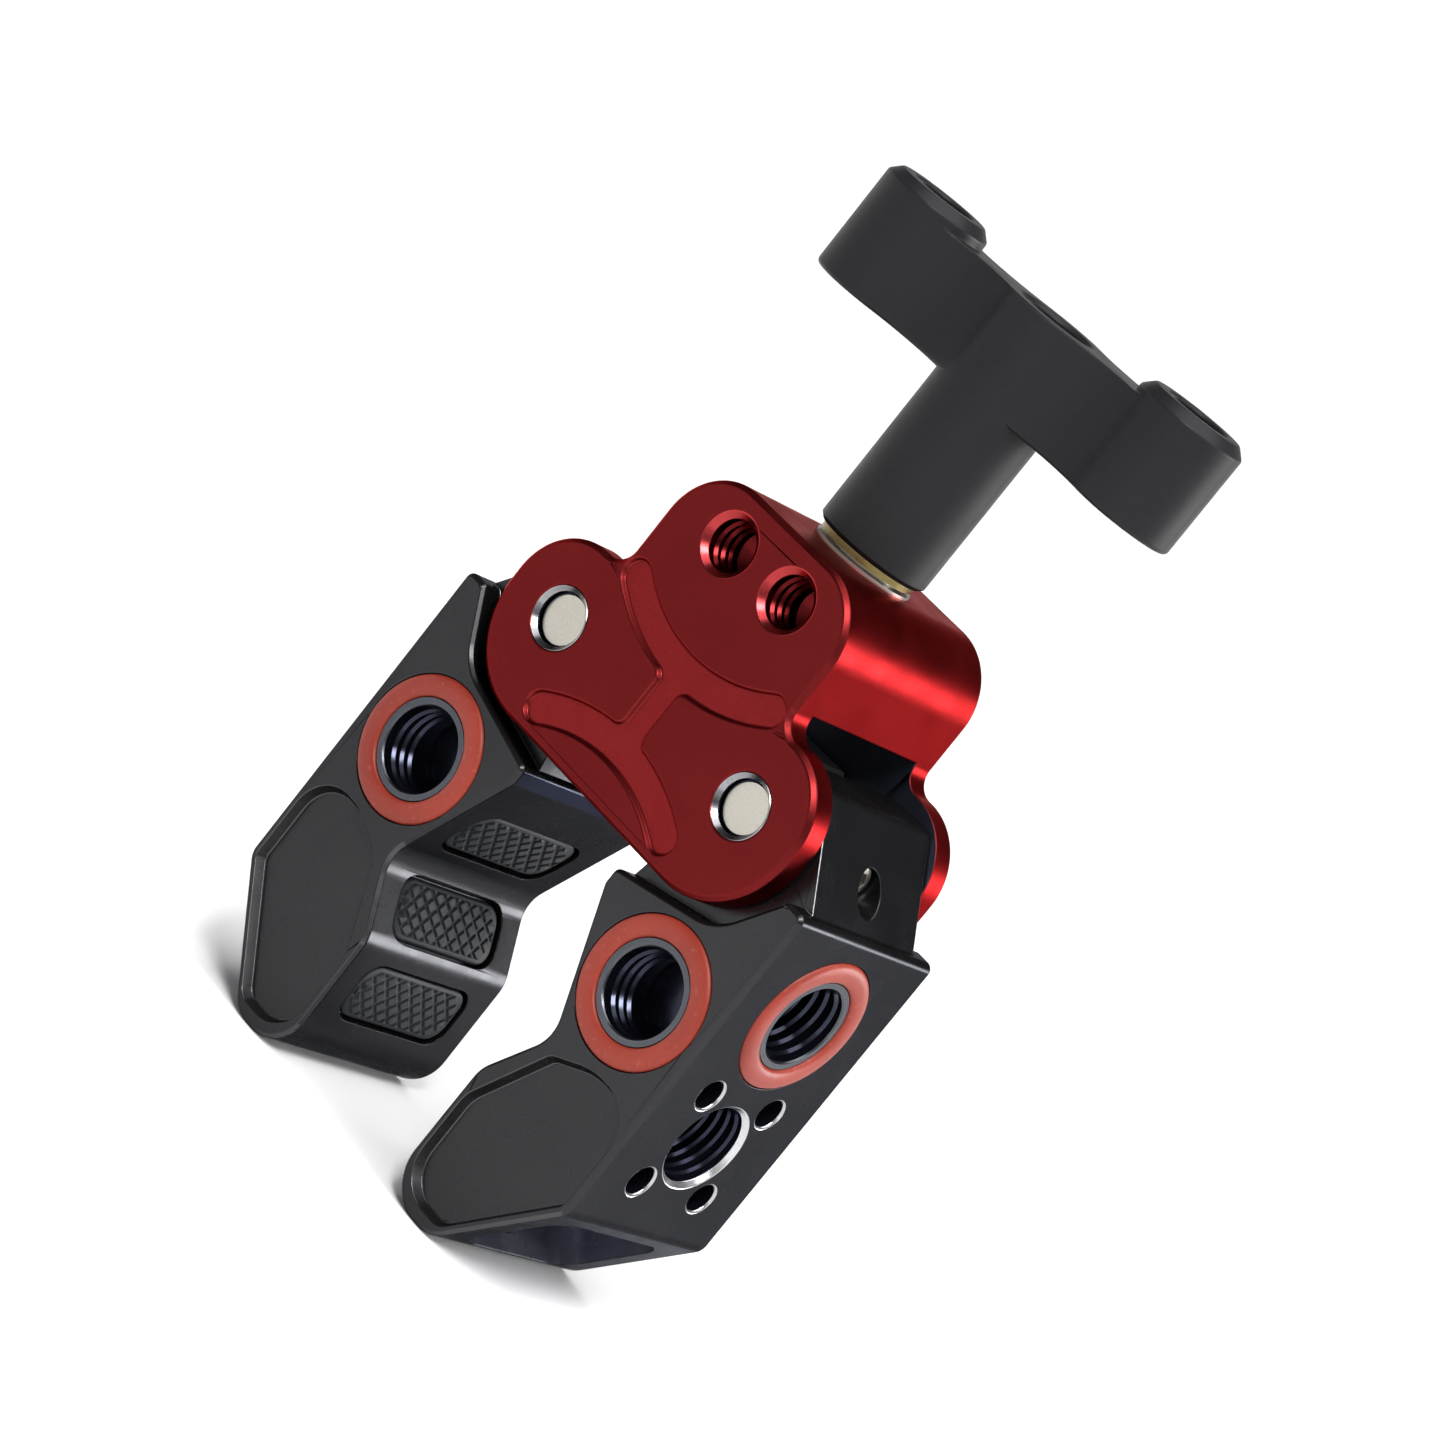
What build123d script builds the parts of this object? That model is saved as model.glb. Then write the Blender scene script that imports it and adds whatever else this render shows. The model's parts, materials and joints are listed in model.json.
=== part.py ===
"""Super clamp: a clevis body, two mirrored jaws on hinge pins and a T-handle screw.

Everything is drawn about the line through the two hinge pins: X runs from the left pin to the
right pin, Y from front to back, Z up towards the handle. Each piece is then lifted by PIN_HEIGHT
so that the origin sits on the axis of a tube gripped between the two jaw notches. Millimetres.
"""
import os
from math import acos, cos, hypot, radians, sin, tan

from build123d import *

# --- where things are -------------------------------------------------------------------------
PIN_HEIGHT = 29.0          # hinge-pin line above the axis of a gripped tube
PIN_X = 15.0               # each hinge pin from the middle plane
PIN_R = 2.5                # 5 mm dowel pins
FIT = 0.05                 # radial running clearance of a pin or shaft in its bush

# --- clevis body ------------------------------------------------------------------------------
BODY_HALF_Y = 12.9         # front and rear faces
SLOT_HALF_Y = 9.65         # inner faces of the two side plates
SLOT_TOP_Z = 10.2          # underside of the top block
BODY_TOP_Z = 22.2
BODY_BOTTOM_Z = -10.5
LOBE_X = 22.8              # widest point of the rounded ears
LOBE_TOP_Z = 7.9
BLOCK_X = 13.0             # half width of the top block
BODY_CHAMFER = 0.5
RELIEF_DEPTH = 0.5         # sunk ornament in the front and rear faces
RELIEF_R = 1.8             # half width of its two curved bars
QUARTER_R = 2.6            # 1/4"-20 tapped bore
QUARTER_MOUTH_R = 3.35     # its countersink
QUARTER_DEPTHS = {-1: 6.0, 1: 6.4}   # left and right hole
QUARTER_X = 4.58
QUARTER_Z = 16.9

# --- hinge bushes -----------------------------------------------------------------------------
BUSH_R = 3.3
BUSH_BORE_R = PIN_R + FIT

# --- screw, nut and handle --------------------------------------------------------------------
SCREW_R = 4.0              # M8 x 1.25
SCREW_BOTTOM_Z = -8.3
SCREW_TOP_Z = 48.7
SPINDLE_BUSH_R = 5.0
THRUST_R = 5.6             # steel washer let into the block
THRUST_Z = (21.75, 22.5)
BRASS_R = 5.45
BRASS_Z = (22.85, 23.55)
RETAINER_R = 6.3
RETAINER_Z = (9.2, 9.9)
STEM_R = 6.25
BAR_Z = (41.7, 52.2)
BOSS_TOP_Z = 54.1
BOSS_R = 6.0
BOSS_CHAMFER = 1.1
BOSS_REACH = 17.1          # each end boss from the screw axis
BAR_ANGLE = 11.7           # handle at rest, turned about the screw axis
WEB_HALF = 3.3             # half thickness of the bar between its bosses
WEB_BLEND_R = 6.0
BOSS_HOLE_R = 3.4
BOSS_HOLE_DEPTH = 7.0

# --- lever arms -------------------------------------------------------------------------------
ARM = 8.0                  # hinge pin to the centre of the rounded nose
ARM_REST_ANGLE = 3.0       # nose above the pin line at rest
NOSE_R = 2.0
NOSE_GAP = 0.1
NUT_HALF_X = 8.2
NUT_HALF_Y = 8.9
NUT_HALF_Z = 4.2

# --- jaws (right-hand one, the other is its mirror image) --------------------------------------
JAW_HALF_Y = 12.1
TONGUE_HALF_Y = 9.3
JAW_OUTER_X = 27.8
JAW_BOTTOM_Z = -51.6
JAW_TIP_X = 9.7
JAW_CHAMFER = 0.4
NOTCH_DEEP = (14.15, -29.0)       # bottom of the grip notch
NOTCH_LOW = (9.8, -36.4)        # lower shoulder of the notch
NOTCH_HIGH = (7.7, -14.9)        # upper shoulder of the notch
END_CORNER = (JAW_OUTER_X, -39.5)
END_TOE = (17.2, JAW_BOTTOM_Z)
TONGUE_R = 6.3
SLOPE = (0.8, 0.6)               # outward direction of the sloped tongue face
SLOPE_REACH = 7.3                # that face from the pin axis
SIDE_SEAT = (18.98, -19.4)      # accessory socket in the front and rear faces
OUTER_SEAT_Z = -13.4             # accessory socket in the outer face
PLATE_HOLE_Z = -28.65             # plain tapped hole in the outer face
INSERT_R = 5.3
THREE_EIGHTHS_R = 4.0            # 3/8"-16 tapped bore
THREE_EIGHTHS_MOUTH_R = 4.75
INSERT_DEPTH = 6.2
OUTER_INSERT_DEPTH = 6.8
RING_R = 7.6
RING_GROOVE = 1.0
RING_PROUD = 0.45
PLATE_HOLE_DEPTH = 9.0
PLATE_HOLE_MOUTH_R = 4.5
LOCATING_R = 1.65
LOCATING_DEPTH = 3.4
LOCATING_Y = 5.3
LOCATING_Z = 5.35
CHEEK_POCKET = 1.2                # depth of the panels sunk in the lower jaw
GRUB_R = 2.0                     # M4 set screw
PAD_LENGTH = 17.5
PAD_WIDTH = 7.0
PAD_CORNER = 2.4
PAD_POCKET = 1.4
PAD_THICK = 1.15
PAD_GAP = 0.3
END_WINDOW = (17.8, 12.2)        # hollow in the slanted end, across and along it
END_WINDOW_START = 2.4
END_WINDOW_DEPTH = 6.2

os.makedirs("parts", exist_ok=True)


# --- helpers ------------------------------------------------------------------------------------
def rounded_face(corners, plane=Plane.XZ):
    """Flat face from (x, z, corner radius) triples, each corner replaced by a tangent arc."""
    edges = []
    ends = []
    n = len(corners)
    for i in range(n):
        px, pz, _ = corners[i - 1]
        cx, cz, r = corners[i]
        nx, nz, _ = corners[(i + 1) % n]
        a = hypot(px - cx, pz - cz)
        b = hypot(nx - cx, nz - cz)
        ua = ((px - cx) / a, (pz - cz) / a)
        ub = ((nx - cx) / b, (nz - cz) / b)
        if r <= 0:
            ends.append(((cx, cz), None, (cx, cz)))
            continue
        half = acos(max(-1.0, min(1.0, ua[0] * ub[0] + ua[1] * ub[1]))) / 2
        t = r / tan(half)
        start = (cx + ua[0] * t, cz + ua[1] * t)
        end = (cx + ub[0] * t, cz + ub[1] * t)
        bx, bz = ua[0] + ub[0], ua[1] + ub[1]
        m = hypot(bx, bz)
        reach = r / sin(half) - r
        mid = (cx + bx / m * reach, cz + bz / m * reach)
        ends.append((start, mid, end))
    for i in range(n):
        start, mid, end = ends[i]
        if mid is not None:
            edges.append(ThreePointArc(start, mid, end))
        following = ends[(i + 1) % n][0]
        if hypot(end[0] - following[0], end[1] - following[1]) > 1e-6:
            edges.append(Line(end, following))
    return plane * make_face(Curve() + edges)


def slab(face, half_y):
    """Solid of a face in the XZ plane carried the same way to the front and to the rear."""
    return extrude(face, half_y, both=True)


def rod(r, z0, z1, x=0.0, y=0.0):
    """Upright cylinder between two heights."""
    return Pos(x, y, z0) * Cylinder(r, z1 - z0, align=(Align.CENTER, Align.CENTER, Align.MIN))


def tube(r, bore, z0, z1):
    """Upright tube between two heights."""
    return rod(r, z0, z1) - rod(bore, z0 - 1, z1 + 1)


def drill(spot, inward, r, depth):
    """Blind round cutter: mouth centre, direction into the material, radius and depth."""
    into = Plane(origin=spot, z_dir=inward)
    return into * Cylinder(r, depth, align=(Align.CENTER, Align.CENTER, Align.MIN))


def countersink(spot, inward, mouth_r, r):
    """Forty-five degree cone that opens a hole out to its mouth radius."""
    depth = mouth_r - r
    into = Plane(origin=spot, z_dir=inward)
    return into * Cone(mouth_r, r, depth, align=(Align.CENTER, Align.CENTER, Align.MIN))


def arc_bar(middle_z, end_x, end_z, half):
    """Flat curved bar of even width with round ends, symmetric about the middle plane."""
    rise = end_z - middle_z
    big = (end_x ** 2 + rise ** 2) / (2 * abs(rise))
    way = 1 if rise > 0 else -1
    centre_z = middle_z + way * big
    spread = 2 * acos((big - abs(rise)) / big)

    def at(radius, angle):
        return (radius * sin(angle), centre_z - way * radius * cos(angle))

    h = spread / 2
    upper = ThreePointArc(at(big + half, -h), at(big + half, 0), at(big + half, h))
    lower = ThreePointArc(at(big - half, h), at(big - half, 0), at(big - half, -h))
    cap = half / big
    right = ThreePointArc(at(big + half, h), at(big, h + cap), at(big - half, h))
    left = ThreePointArc(at(big - half, -h), at(big, -h - cap), at(big + half, -h))
    return make_face(Curve() + [upper, right, lower, left])


def outline_edges(part, half_y):
    """All edges that lie in the front or the rear face plane."""
    return [e for e in part.edges() if abs(abs(e.center().Y) - half_y) < 1e-4
            and abs(abs((e @ 0).Y) - half_y) < 1e-4]


def save(name, shape):
    """Lift a finished piece so the origin is the gripped tube, then write it."""
    moved = Pos(0, 0, PIN_HEIGHT) * shape
    solids = moved.solids()
    moved = solids[0] if len(solids) == 1 else Compound(children=list(solids))
    moved.label = name
    export_step(moved, f"parts/{name}.step")


# --- clevis body ---------------------------------------------------------------------------------
def body_outline():
    half = [(LOBE_X, BODY_BOTTOM_Z, 9.9), (LOBE_X, LOBE_TOP_Z, 7.25),
            (BLOCK_X, LOBE_TOP_Z, 2.2), (BLOCK_X, BODY_TOP_Z, 7.0)]
    other = [(-x, z, r) for x, z, r in reversed(half)]
    return rounded_face(half + other)


def relief():
    """Two curved bars joined by an upright, as one flat face."""
    bars = arc_bar(5.1, 10.9, 8.4, RELIEF_R)
    bars += arc_bar(-4.75, 10.3, -7.6, RELIEF_R)
    return bars + Pos(0, 0.2) * Rectangle(3.2, 9.6)


def body_clevis():
    part = slab(body_outline(), BODY_HALF_Y)
    part = chamfer(outline_edges(part, BODY_HALF_Y), BODY_CHAMFER)
    slot_bottom = BODY_BOTTOM_Z - 5
    slot_height = SLOT_TOP_Z - slot_bottom
    part -= Pos(0, 0, slot_bottom) * Box(80, 2 * SLOT_HALF_Y, slot_height,
                                         align=(Align.CENTER, Align.CENTER, Align.MIN))
    part -= rod(SPINDLE_BUSH_R, SLOT_TOP_Z - 1, BODY_TOP_Z + 1)
    part -= rod(THRUST_R, THRUST_Z[0], BODY_TOP_Z + 1)
    for side in (-1, 1):
        face_y = side * BODY_HALF_Y
        into = (0, -side, 0)
        for x in (-PIN_X, PIN_X):
            part -= drill((x, face_y, 0), into, BUSH_R, 4.0)
        for x_way, depth in QUARTER_DEPTHS.items():
            spot = (x_way * QUARTER_X, face_y, QUARTER_Z)
            part -= drill(spot, into, QUARTER_R, depth)
            part -= countersink(spot, into, QUARTER_MOUTH_R, QUARTER_R)
        floor = Plane(origin=(0, face_y, 0), x_dir=(1, 0, 0), z_dir=(0, -1, 0))
        part -= extrude(floor * relief(), side * RELIEF_DEPTH)
    return part


def hinge_bush(x, side):
    """Pressed steel bush in one side plate, bore opened out at the outer face."""
    face_y = side * BODY_HALF_Y
    into = (0, -side, 0)
    length = BODY_HALF_Y - SLOT_HALF_Y
    part = drill((x, face_y, 0), into, BUSH_R, length)
    part -= drill((x, face_y, 0), into, BUSH_BORE_R, length)
    part -= countersink((x, face_y, 0), into, BUSH_BORE_R + 0.5, BUSH_BORE_R)
    return part


# --- screw, nut and handle -----------------------------------------------------------------------
def clamp_screw():
    part = rod(SCREW_R, SCREW_BOTTOM_Z, SCREW_TOP_Z)
    ends = part.edges().filter_by(GeomType.CIRCLE)
    part = chamfer(ends, 0.6)
    socket = Pos(0, 0, SCREW_TOP_Z - 4.0) * RegularPolygon(2.5, 6, major_radius=False)
    return part - extrude(socket, 5.0)


def t_handle():
    plan = Rectangle(2 * BOSS_REACH, 2 * WEB_HALF)
    plan += Circle(STEM_R)
    for x in (-BOSS_REACH, BOSS_REACH):
        plan += Pos(x, 0) * Circle(BOSS_R)
    waists = [v for v in plan.vertices() if abs(v.X) < BOSS_REACH - 1
              and abs(abs(v.Y) - WEB_HALF) < 1e-3]
    plan = fillet(waists, WEB_BLEND_R)
    bar = Pos(0, 0, BAR_Z[0]) * extrude(plan, BAR_Z[1] - BAR_Z[0])
    lower = [e for e in bar.edges() if abs((e @ 0).Z - BAR_Z[0]) < 1e-4
             and abs((e @ 1).Z - BAR_Z[0]) < 1e-4]
    bar = fillet(lower, 0.5)
    stem = rod(STEM_R, BRASS_Z[1], BAR_Z[0] + 2)
    foot = stem.edges().filter_by(GeomType.CIRCLE).sort_by(Axis.Z)[0]
    stem = chamfer(foot, 0.5)
    part = bar + stem
    for x in (-BOSS_REACH, BOSS_REACH):
        boss = rod(BOSS_R, BAR_Z[1] - 1.0, BOSS_TOP_Z, x)
        rim = boss.edges().filter_by(GeomType.CIRCLE).sort_by(Axis.Z)[-1]
        part += chamfer(rim, BOSS_CHAMFER)
    for x in (-BOSS_REACH, BOSS_REACH):
        part -= rod(BOSS_HOLE_R, BOSS_TOP_Z - BOSS_HOLE_DEPTH, BOSS_TOP_Z + 1, x)
    part -= rod(SCREW_R, BRASS_Z[1] - 1, BAR_Z[1] + 1)
    part -= countersink((0, 0, BAR_Z[1]), (0, 0, -1), SCREW_R + 0.4, SCREW_R)
    return Rot(0, 0, BAR_ANGLE) * part


def nose_height():
    return ARM * sin(radians(ARM_REST_ANGLE))


def crosshead_nut():
    part = Pos(0, 0, nose_height()) * Box(2 * NUT_HALF_X, 2 * NUT_HALF_Y, 2 * NUT_HALF_Z)
    part = chamfer(part.edges().filter_by(Axis.Y), 0.6)
    groove_x = PIN_X - ARM - NOSE_R - NOSE_GAP
    for side in (-1, 1):
        reach = NUT_HALF_X - groove_x + 1
        centre = (side * (groove_x + reach / 2), 0, nose_height())
        part -= Pos(*centre) * Box(reach, 4 * NUT_HALF_Y, 2 * (NOSE_R + NOSE_GAP))
    return part - rod(SCREW_R + FIT, -20, 20)


# --- jaws ----------------------------------------------------------------------------------------
def cheek_outline():
    return rounded_face([
        (JAW_OUTER_X, -3.2, 1.5),
        (*END_CORNER, 2.0),
        (*END_TOE, 4.0),
        (JAW_TIP_X, JAW_BOTTOM_Z, 4.9),
        (*NOTCH_LOW, 2.0),
        (*NOTCH_DEEP, 1.6),
        (*NOTCH_HIGH, 1.0),
        (NOTCH_HIGH[0], -12.95, 0.8),
        (20.6, -10.05, 6.0),
        (25.2, -3.2, 0.6),
    ])


def tongue_outline():
    """Upper part of the jaw that fits between the side plates, with its lever arm and nose."""
    nx, nz = SLOPE
    off = 12.0
    far = (PIN_X + nx * SLOPE_REACH + nz * off, nz * SLOPE_REACH - nx * off)
    near = (PIN_X + nx * SLOPE_REACH - nz * off, nz * SLOPE_REACH + nx * off)
    hub = Pos(PIN_X, 0) * Circle(TONGUE_R)
    web = make_face(Polyline((PIN_X - 5.0, -3.7), (NOTCH_HIGH[0] + 0.3, -13.5), (JAW_OUTER_X, -13.5),
                             (JAW_OUTER_X, TONGUE_R), (PIN_X, TONGUE_R), (PIN_X - 5.0, -3.7)))
    beyond = make_face(Polyline(far, (far[0] + 20, far[1] + 15), (near[0] + 20, near[1] + 15),
                                near, far))
    return Plane.XZ * (hub + web - beyond)


def lever_nose():
    angle = radians(ARM_REST_ANGLE)
    nose_x = PIN_X - ARM * cos(angle)
    nose = Pos(nose_x, nose_height()) * Circle(NOSE_R)
    neck = Pos(PIN_X, 0) * Rot(0, 0, 180 - ARM_REST_ANGLE) * Rectangle(
        ARM, 2.6, align=(Align.MIN, Align.CENTER))
    return Plane.XZ * (nose + neck)


def gripping_faces():
    """Middle point and outward direction of the three padded inner faces."""
    hx, hz = NOTCH_HIGH
    dx, dz = NOTCH_DEEP
    lx, lz = NOTCH_LOW
    upper = hypot(hx - dx, hz - dz)
    ux, uz = (hx - dx) / upper, (hz - dz) / upper
    middle = hypot(dx - lx, dz - lz)
    mx, mz = (dx - lx) / middle, (dz - lz) / middle
    return {
        "upper": ((dx + ux * 6.65, 0, dz + uz * 6.65), (-uz, 0, ux)),
        "middle": ((lx + mx * 4.15, 0, lz + mz * 4.15), (-mz, 0, mx)),
        "lower": ((JAW_TIP_X, 0, -42.0), (-1, 0, 0)),
    }


def pad_block(spot, outward, sink_top, depth, shrink):
    """Rounded block sunk into a gripping face."""
    top = Plane(origin=spot, x_dir=(0, 1, 0), z_dir=outward)
    shape = RectangleRounded(PAD_LENGTH - 2 * shrink, PAD_WIDTH - 2 * shrink, PAD_CORNER - shrink)
    return top * (Pos(0, 0, -sink_top) * extrude(shape, -depth))


def end_pocket():
    """Hollow in the slanted end of the jaw."""
    ex, ez = END_CORNER
    tx, tz = END_TOE
    run = hypot(tx - ex, tz - ez)
    sx, sz = (tx - ex) / run, (tz - ez) / run
    middle = END_WINDOW_START + END_WINDOW[1] / 2
    centre = (ex + sx * middle, 0, ez + sz * middle)
    mouth = Plane(origin=centre, x_dir=(0, 1, 0), z_dir=(-sz, 0, sx))
    window = RectangleRounded(*END_WINDOW, 3.0)
    return mouth * (Pos(0, 0, 1) * extrude(window, -END_WINDOW_DEPTH - 1))


def cheek_pocket():
    """Shallow panel sunk into the front or rear face of the lower jaw."""
    return rounded_face([
        (15.3, -30.2, 2.0), (20.1, -28.0, 8.0), (27.0, -28.0, 4.6), (27.0, -39.2, 1.6),
        (17.6, -50.1, 2.4), (10.5, -50.1, 4.4), (10.5, -39.2, 4.0),
    ])


def seats():
    """Mouth centre, direction into the jaw and insert length of the three accessory sockets."""
    sx, sz = SIDE_SEAT
    return {
        "front": ((sx, -JAW_HALF_Y, sz), (0, 1, 0), INSERT_DEPTH),
        "rear": ((sx, JAW_HALF_Y, sz), (0, -1, 0), INSERT_DEPTH),
        "outer": ((JAW_OUTER_X, 0, OUTER_SEAT_Z), (-1, 0, 0), OUTER_INSERT_DEPTH),
    }


def jaw():
    part = slab(cheek_outline(), JAW_HALF_Y)
    part = chamfer(outline_edges(part, JAW_HALF_Y), JAW_CHAMFER)
    part += slab(tongue_outline(), TONGUE_HALF_Y)
    part += slab(lever_nose(), NUT_HALF_Y)
    part -= drill((PIN_X, -20, 0), (0, 1, 0), PIN_R, 40)
    part -= drill((PIN_X, 0, 0), (1, 0, 0), GRUB_R, 20)
    for spot, into, depth in seats().values():
        part -= drill(spot, into, INSERT_R, depth)
        part -= drill(spot, into, RING_R, RING_GROOVE)
    plate_hole = (JAW_OUTER_X, 0, PLATE_HOLE_Z)
    part -= drill(plate_hole, (-1, 0, 0), THREE_EIGHTHS_R, PLATE_HOLE_DEPTH)
    part -= countersink(plate_hole, (-1, 0, 0), PLATE_HOLE_MOUTH_R, THREE_EIGHTHS_R)
    for y in (-LOCATING_Y, LOCATING_Y):
        for z in (-LOCATING_Z, LOCATING_Z):
            spot = (JAW_OUTER_X, y, PLATE_HOLE_Z + z)
            part -= drill(spot, (-1, 0, 0), LOCATING_R, LOCATING_DEPTH)
    for spot, outward in gripping_faces().values():
        part -= pad_block(spot, outward, -1.0, PAD_POCKET + 1.0, 0)
    part -= end_pocket()
    for side in (-1, 1):
        panel = Pos(0, side * JAW_HALF_Y, 0) * cheek_pocket()
        part -= extrude(panel, CHEEK_POCKET, dir=(0, -side, 0))
    return part


def hinge_pin(shift):
    """Dowel with chamfered ends, a little off centre as it was pressed in."""
    length = 24.6
    part = drill((PIN_X, shift - length / 2, 0), (0, 1, 0), PIN_R, length)
    return chamfer(part.edges().filter_by(GeomType.CIRCLE), 0.3)


def pin_set_screw():
    part = drill((PIN_X + PIN_R, 0, 0), (1, 0, 0), GRUB_R, 4.0)
    part -= Plane(origin=(PIN_X + PIN_R + 4.0, 0, 0), z_dir=(-1, 0, 0)) * extrude(
        RegularPolygon(1.0, 6, major_radius=False), 1.8)
    return part


def thread_insert(spot, into, depth):
    part = drill(spot, into, INSERT_R, depth)
    part -= drill(spot, into, THREE_EIGHTHS_R, depth)
    return part - countersink(spot, into, THREE_EIGHTHS_MOUTH_R, THREE_EIGHTHS_R)


def seat_ring(spot, into):
    """Soft collar bedded in the groove round an insert, its crown a little proud."""
    mid = (INSERT_R + RING_R) / 2
    half = (RING_R - INSERT_R) / 2
    crown = RING_GROOVE + RING_PROUD
    flat = make_face(Polyline((INSERT_R, 0), (RING_R, 0), (RING_R, RING_GROOVE),
                              (INSERT_R, RING_GROOVE), (INSERT_R, 0)))
    top = make_face(Curve() + [ThreePointArc((INSERT_R, RING_GROOVE), (mid, crown),
                                             (RING_R, RING_GROOVE)),
                               Line((RING_R, RING_GROOVE), (INSERT_R, RING_GROOVE))])
    ring = revolve(Plane.XZ * (flat + top), Axis.Z)
    outward = tuple(-c for c in into)
    foot = tuple(s + c * RING_GROOVE for s, c in zip(spot, into))
    return Plane(origin=foot, z_dir=outward) * ring


# --- write every piece ---------------------------------------------------------------------------
save("body_clevis", body_clevis())
for side_name, x in (("left", -PIN_X), ("right", PIN_X)):
    save(f"hinge_bush_{side_name}_front", hinge_bush(x, -1))
    save(f"hinge_bush_{side_name}_rear", hinge_bush(x, 1))
save("spindle_bush", tube(SPINDLE_BUSH_R, SCREW_R + FIT, SLOT_TOP_Z, THRUST_Z[0]))
save("thrust_washer", tube(THRUST_R, SCREW_R + 0.3, *THRUST_Z))

save("t_handle", t_handle())
save("clamp_screw", clamp_screw())
save("brass_washer", tube(BRASS_R, SCREW_R, *BRASS_Z))
save("retaining_ring", tube(RETAINER_R, SCREW_R, *RETAINER_Z))
save("crosshead_nut", crosshead_nut())

PIECES = {
    "jaw": jaw(),
    "pin_set_screw": pin_set_screw(),
}
for where, (spot, outward) in gripping_faces().items():
    PIECES[f"pad_{where}"] = pad_block(spot, outward, PAD_POCKET - PAD_THICK, PAD_THICK, PAD_GAP)
for where, (spot, into, depth) in seats().items():
    PIECES[f"insert_{where}"] = thread_insert(spot, into, depth)
    PIECES[f"ring_{where}"] = seat_ring(spot, into)
for side_name, shift in (("right", -0.3), ("left", 0.4)):
    for piece, shape in {**PIECES, "hinge_pin": hinge_pin(shift)}.items():
        save(f"{piece}_{side_name}", shape if side_name == "right" else mirror(shape, Plane.YZ))
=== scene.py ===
"""Super clamp in its studio: detailed shells, threads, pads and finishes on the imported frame.

Shapes are drawn in millimetres about the line through the two hinge pins, as the model's source is,
then lifted and scaled into the shared frame by settle().
"""
import json
from collections import namedtuple
from math import acos, atan2, ceil, cos, degrees, hypot, pi, radians, sin, sqrt, tan

import bmesh
import bpy
from mathutils import Matrix, Vector


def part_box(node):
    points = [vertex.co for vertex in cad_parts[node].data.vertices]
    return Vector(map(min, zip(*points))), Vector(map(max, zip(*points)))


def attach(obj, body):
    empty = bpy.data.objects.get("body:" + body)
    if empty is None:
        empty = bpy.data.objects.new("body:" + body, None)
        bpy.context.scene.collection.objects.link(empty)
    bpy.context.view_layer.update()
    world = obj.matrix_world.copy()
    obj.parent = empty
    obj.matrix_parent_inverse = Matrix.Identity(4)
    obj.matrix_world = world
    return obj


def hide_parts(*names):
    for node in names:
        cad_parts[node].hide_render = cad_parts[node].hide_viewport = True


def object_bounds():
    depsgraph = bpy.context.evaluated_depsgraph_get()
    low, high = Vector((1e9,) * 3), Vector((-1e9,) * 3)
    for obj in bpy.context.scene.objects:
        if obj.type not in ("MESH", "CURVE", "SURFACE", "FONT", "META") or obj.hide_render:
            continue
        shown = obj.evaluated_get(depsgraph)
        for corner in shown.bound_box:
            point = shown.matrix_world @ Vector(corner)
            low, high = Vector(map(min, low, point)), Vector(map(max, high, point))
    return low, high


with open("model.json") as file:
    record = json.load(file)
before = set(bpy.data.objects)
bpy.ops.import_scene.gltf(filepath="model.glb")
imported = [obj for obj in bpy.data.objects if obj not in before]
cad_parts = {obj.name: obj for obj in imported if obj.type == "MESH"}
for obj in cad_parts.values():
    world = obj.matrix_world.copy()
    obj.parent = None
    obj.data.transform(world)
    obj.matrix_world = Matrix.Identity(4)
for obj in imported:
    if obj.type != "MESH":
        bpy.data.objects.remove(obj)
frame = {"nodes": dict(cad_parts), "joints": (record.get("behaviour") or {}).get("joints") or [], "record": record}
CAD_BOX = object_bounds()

RECORD = frame["record"]
JOINT = {j["name"]: j for j in frame["joints"]}
MOUNT = {m["name"]: [c * 1000 for c in m["pos_m"]] for m in RECORD["mounts"]}
PIN_X = JOINT["jaw_right_swing"]["pos_m"][0] * 1000
LIFT = JOINT["jaw_right_swing"]["pos_m"][2] * 1000


def node_box(node):
    """A CAD node's lowest and highest corner in millimetres about the pin line."""
    lo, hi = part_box(node)
    drop = Vector((0, 0, LIFT))
    return Vector(lo) * 1000 - drop, Vector(hi) * 1000 - drop


BODY_LO, BODY_HI = node_box("body_clevis")
JAW_LO, JAW_HI = node_box("jaw_right")
SCREW_LO, SCREW_HI = node_box("clamp_screw")
STEM_BOTTOM_Z = node_box("t_handle")[0].z

HANDS = (("left", -1), ("right", 1))
FACES = (("front", -1), ("rear", 1))

# Clevis body.
BODY_HALF_Y = BODY_HI.y
SLOT_HALF_Y = 9.65
SLOT_TOP_Z = 10.2
LOBE_X = 22.8                    # widest point of the rounded ears
LOBE_TOP_Z = 7.9
BLOCK_X = 13.0                   # half width of the top block
SPINDLE_BORE_R = 5.0
THRUST_R, THRUST_SEAT_Z = 5.6, 21.75
BUSH_R = 3.3
RELIEF_R = 1.8                   # half width of the ornament's curved bars
RELIEF_DEPTH, RELIEF_LEAN = 0.5, 0.28
QUARTER_MOUTH_R = 3.35
QUARTER_START = 0.78             # depth at which the ridge begins
QUARTER_DEPTHS = {"left": 6.0, "right": 6.4}

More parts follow.
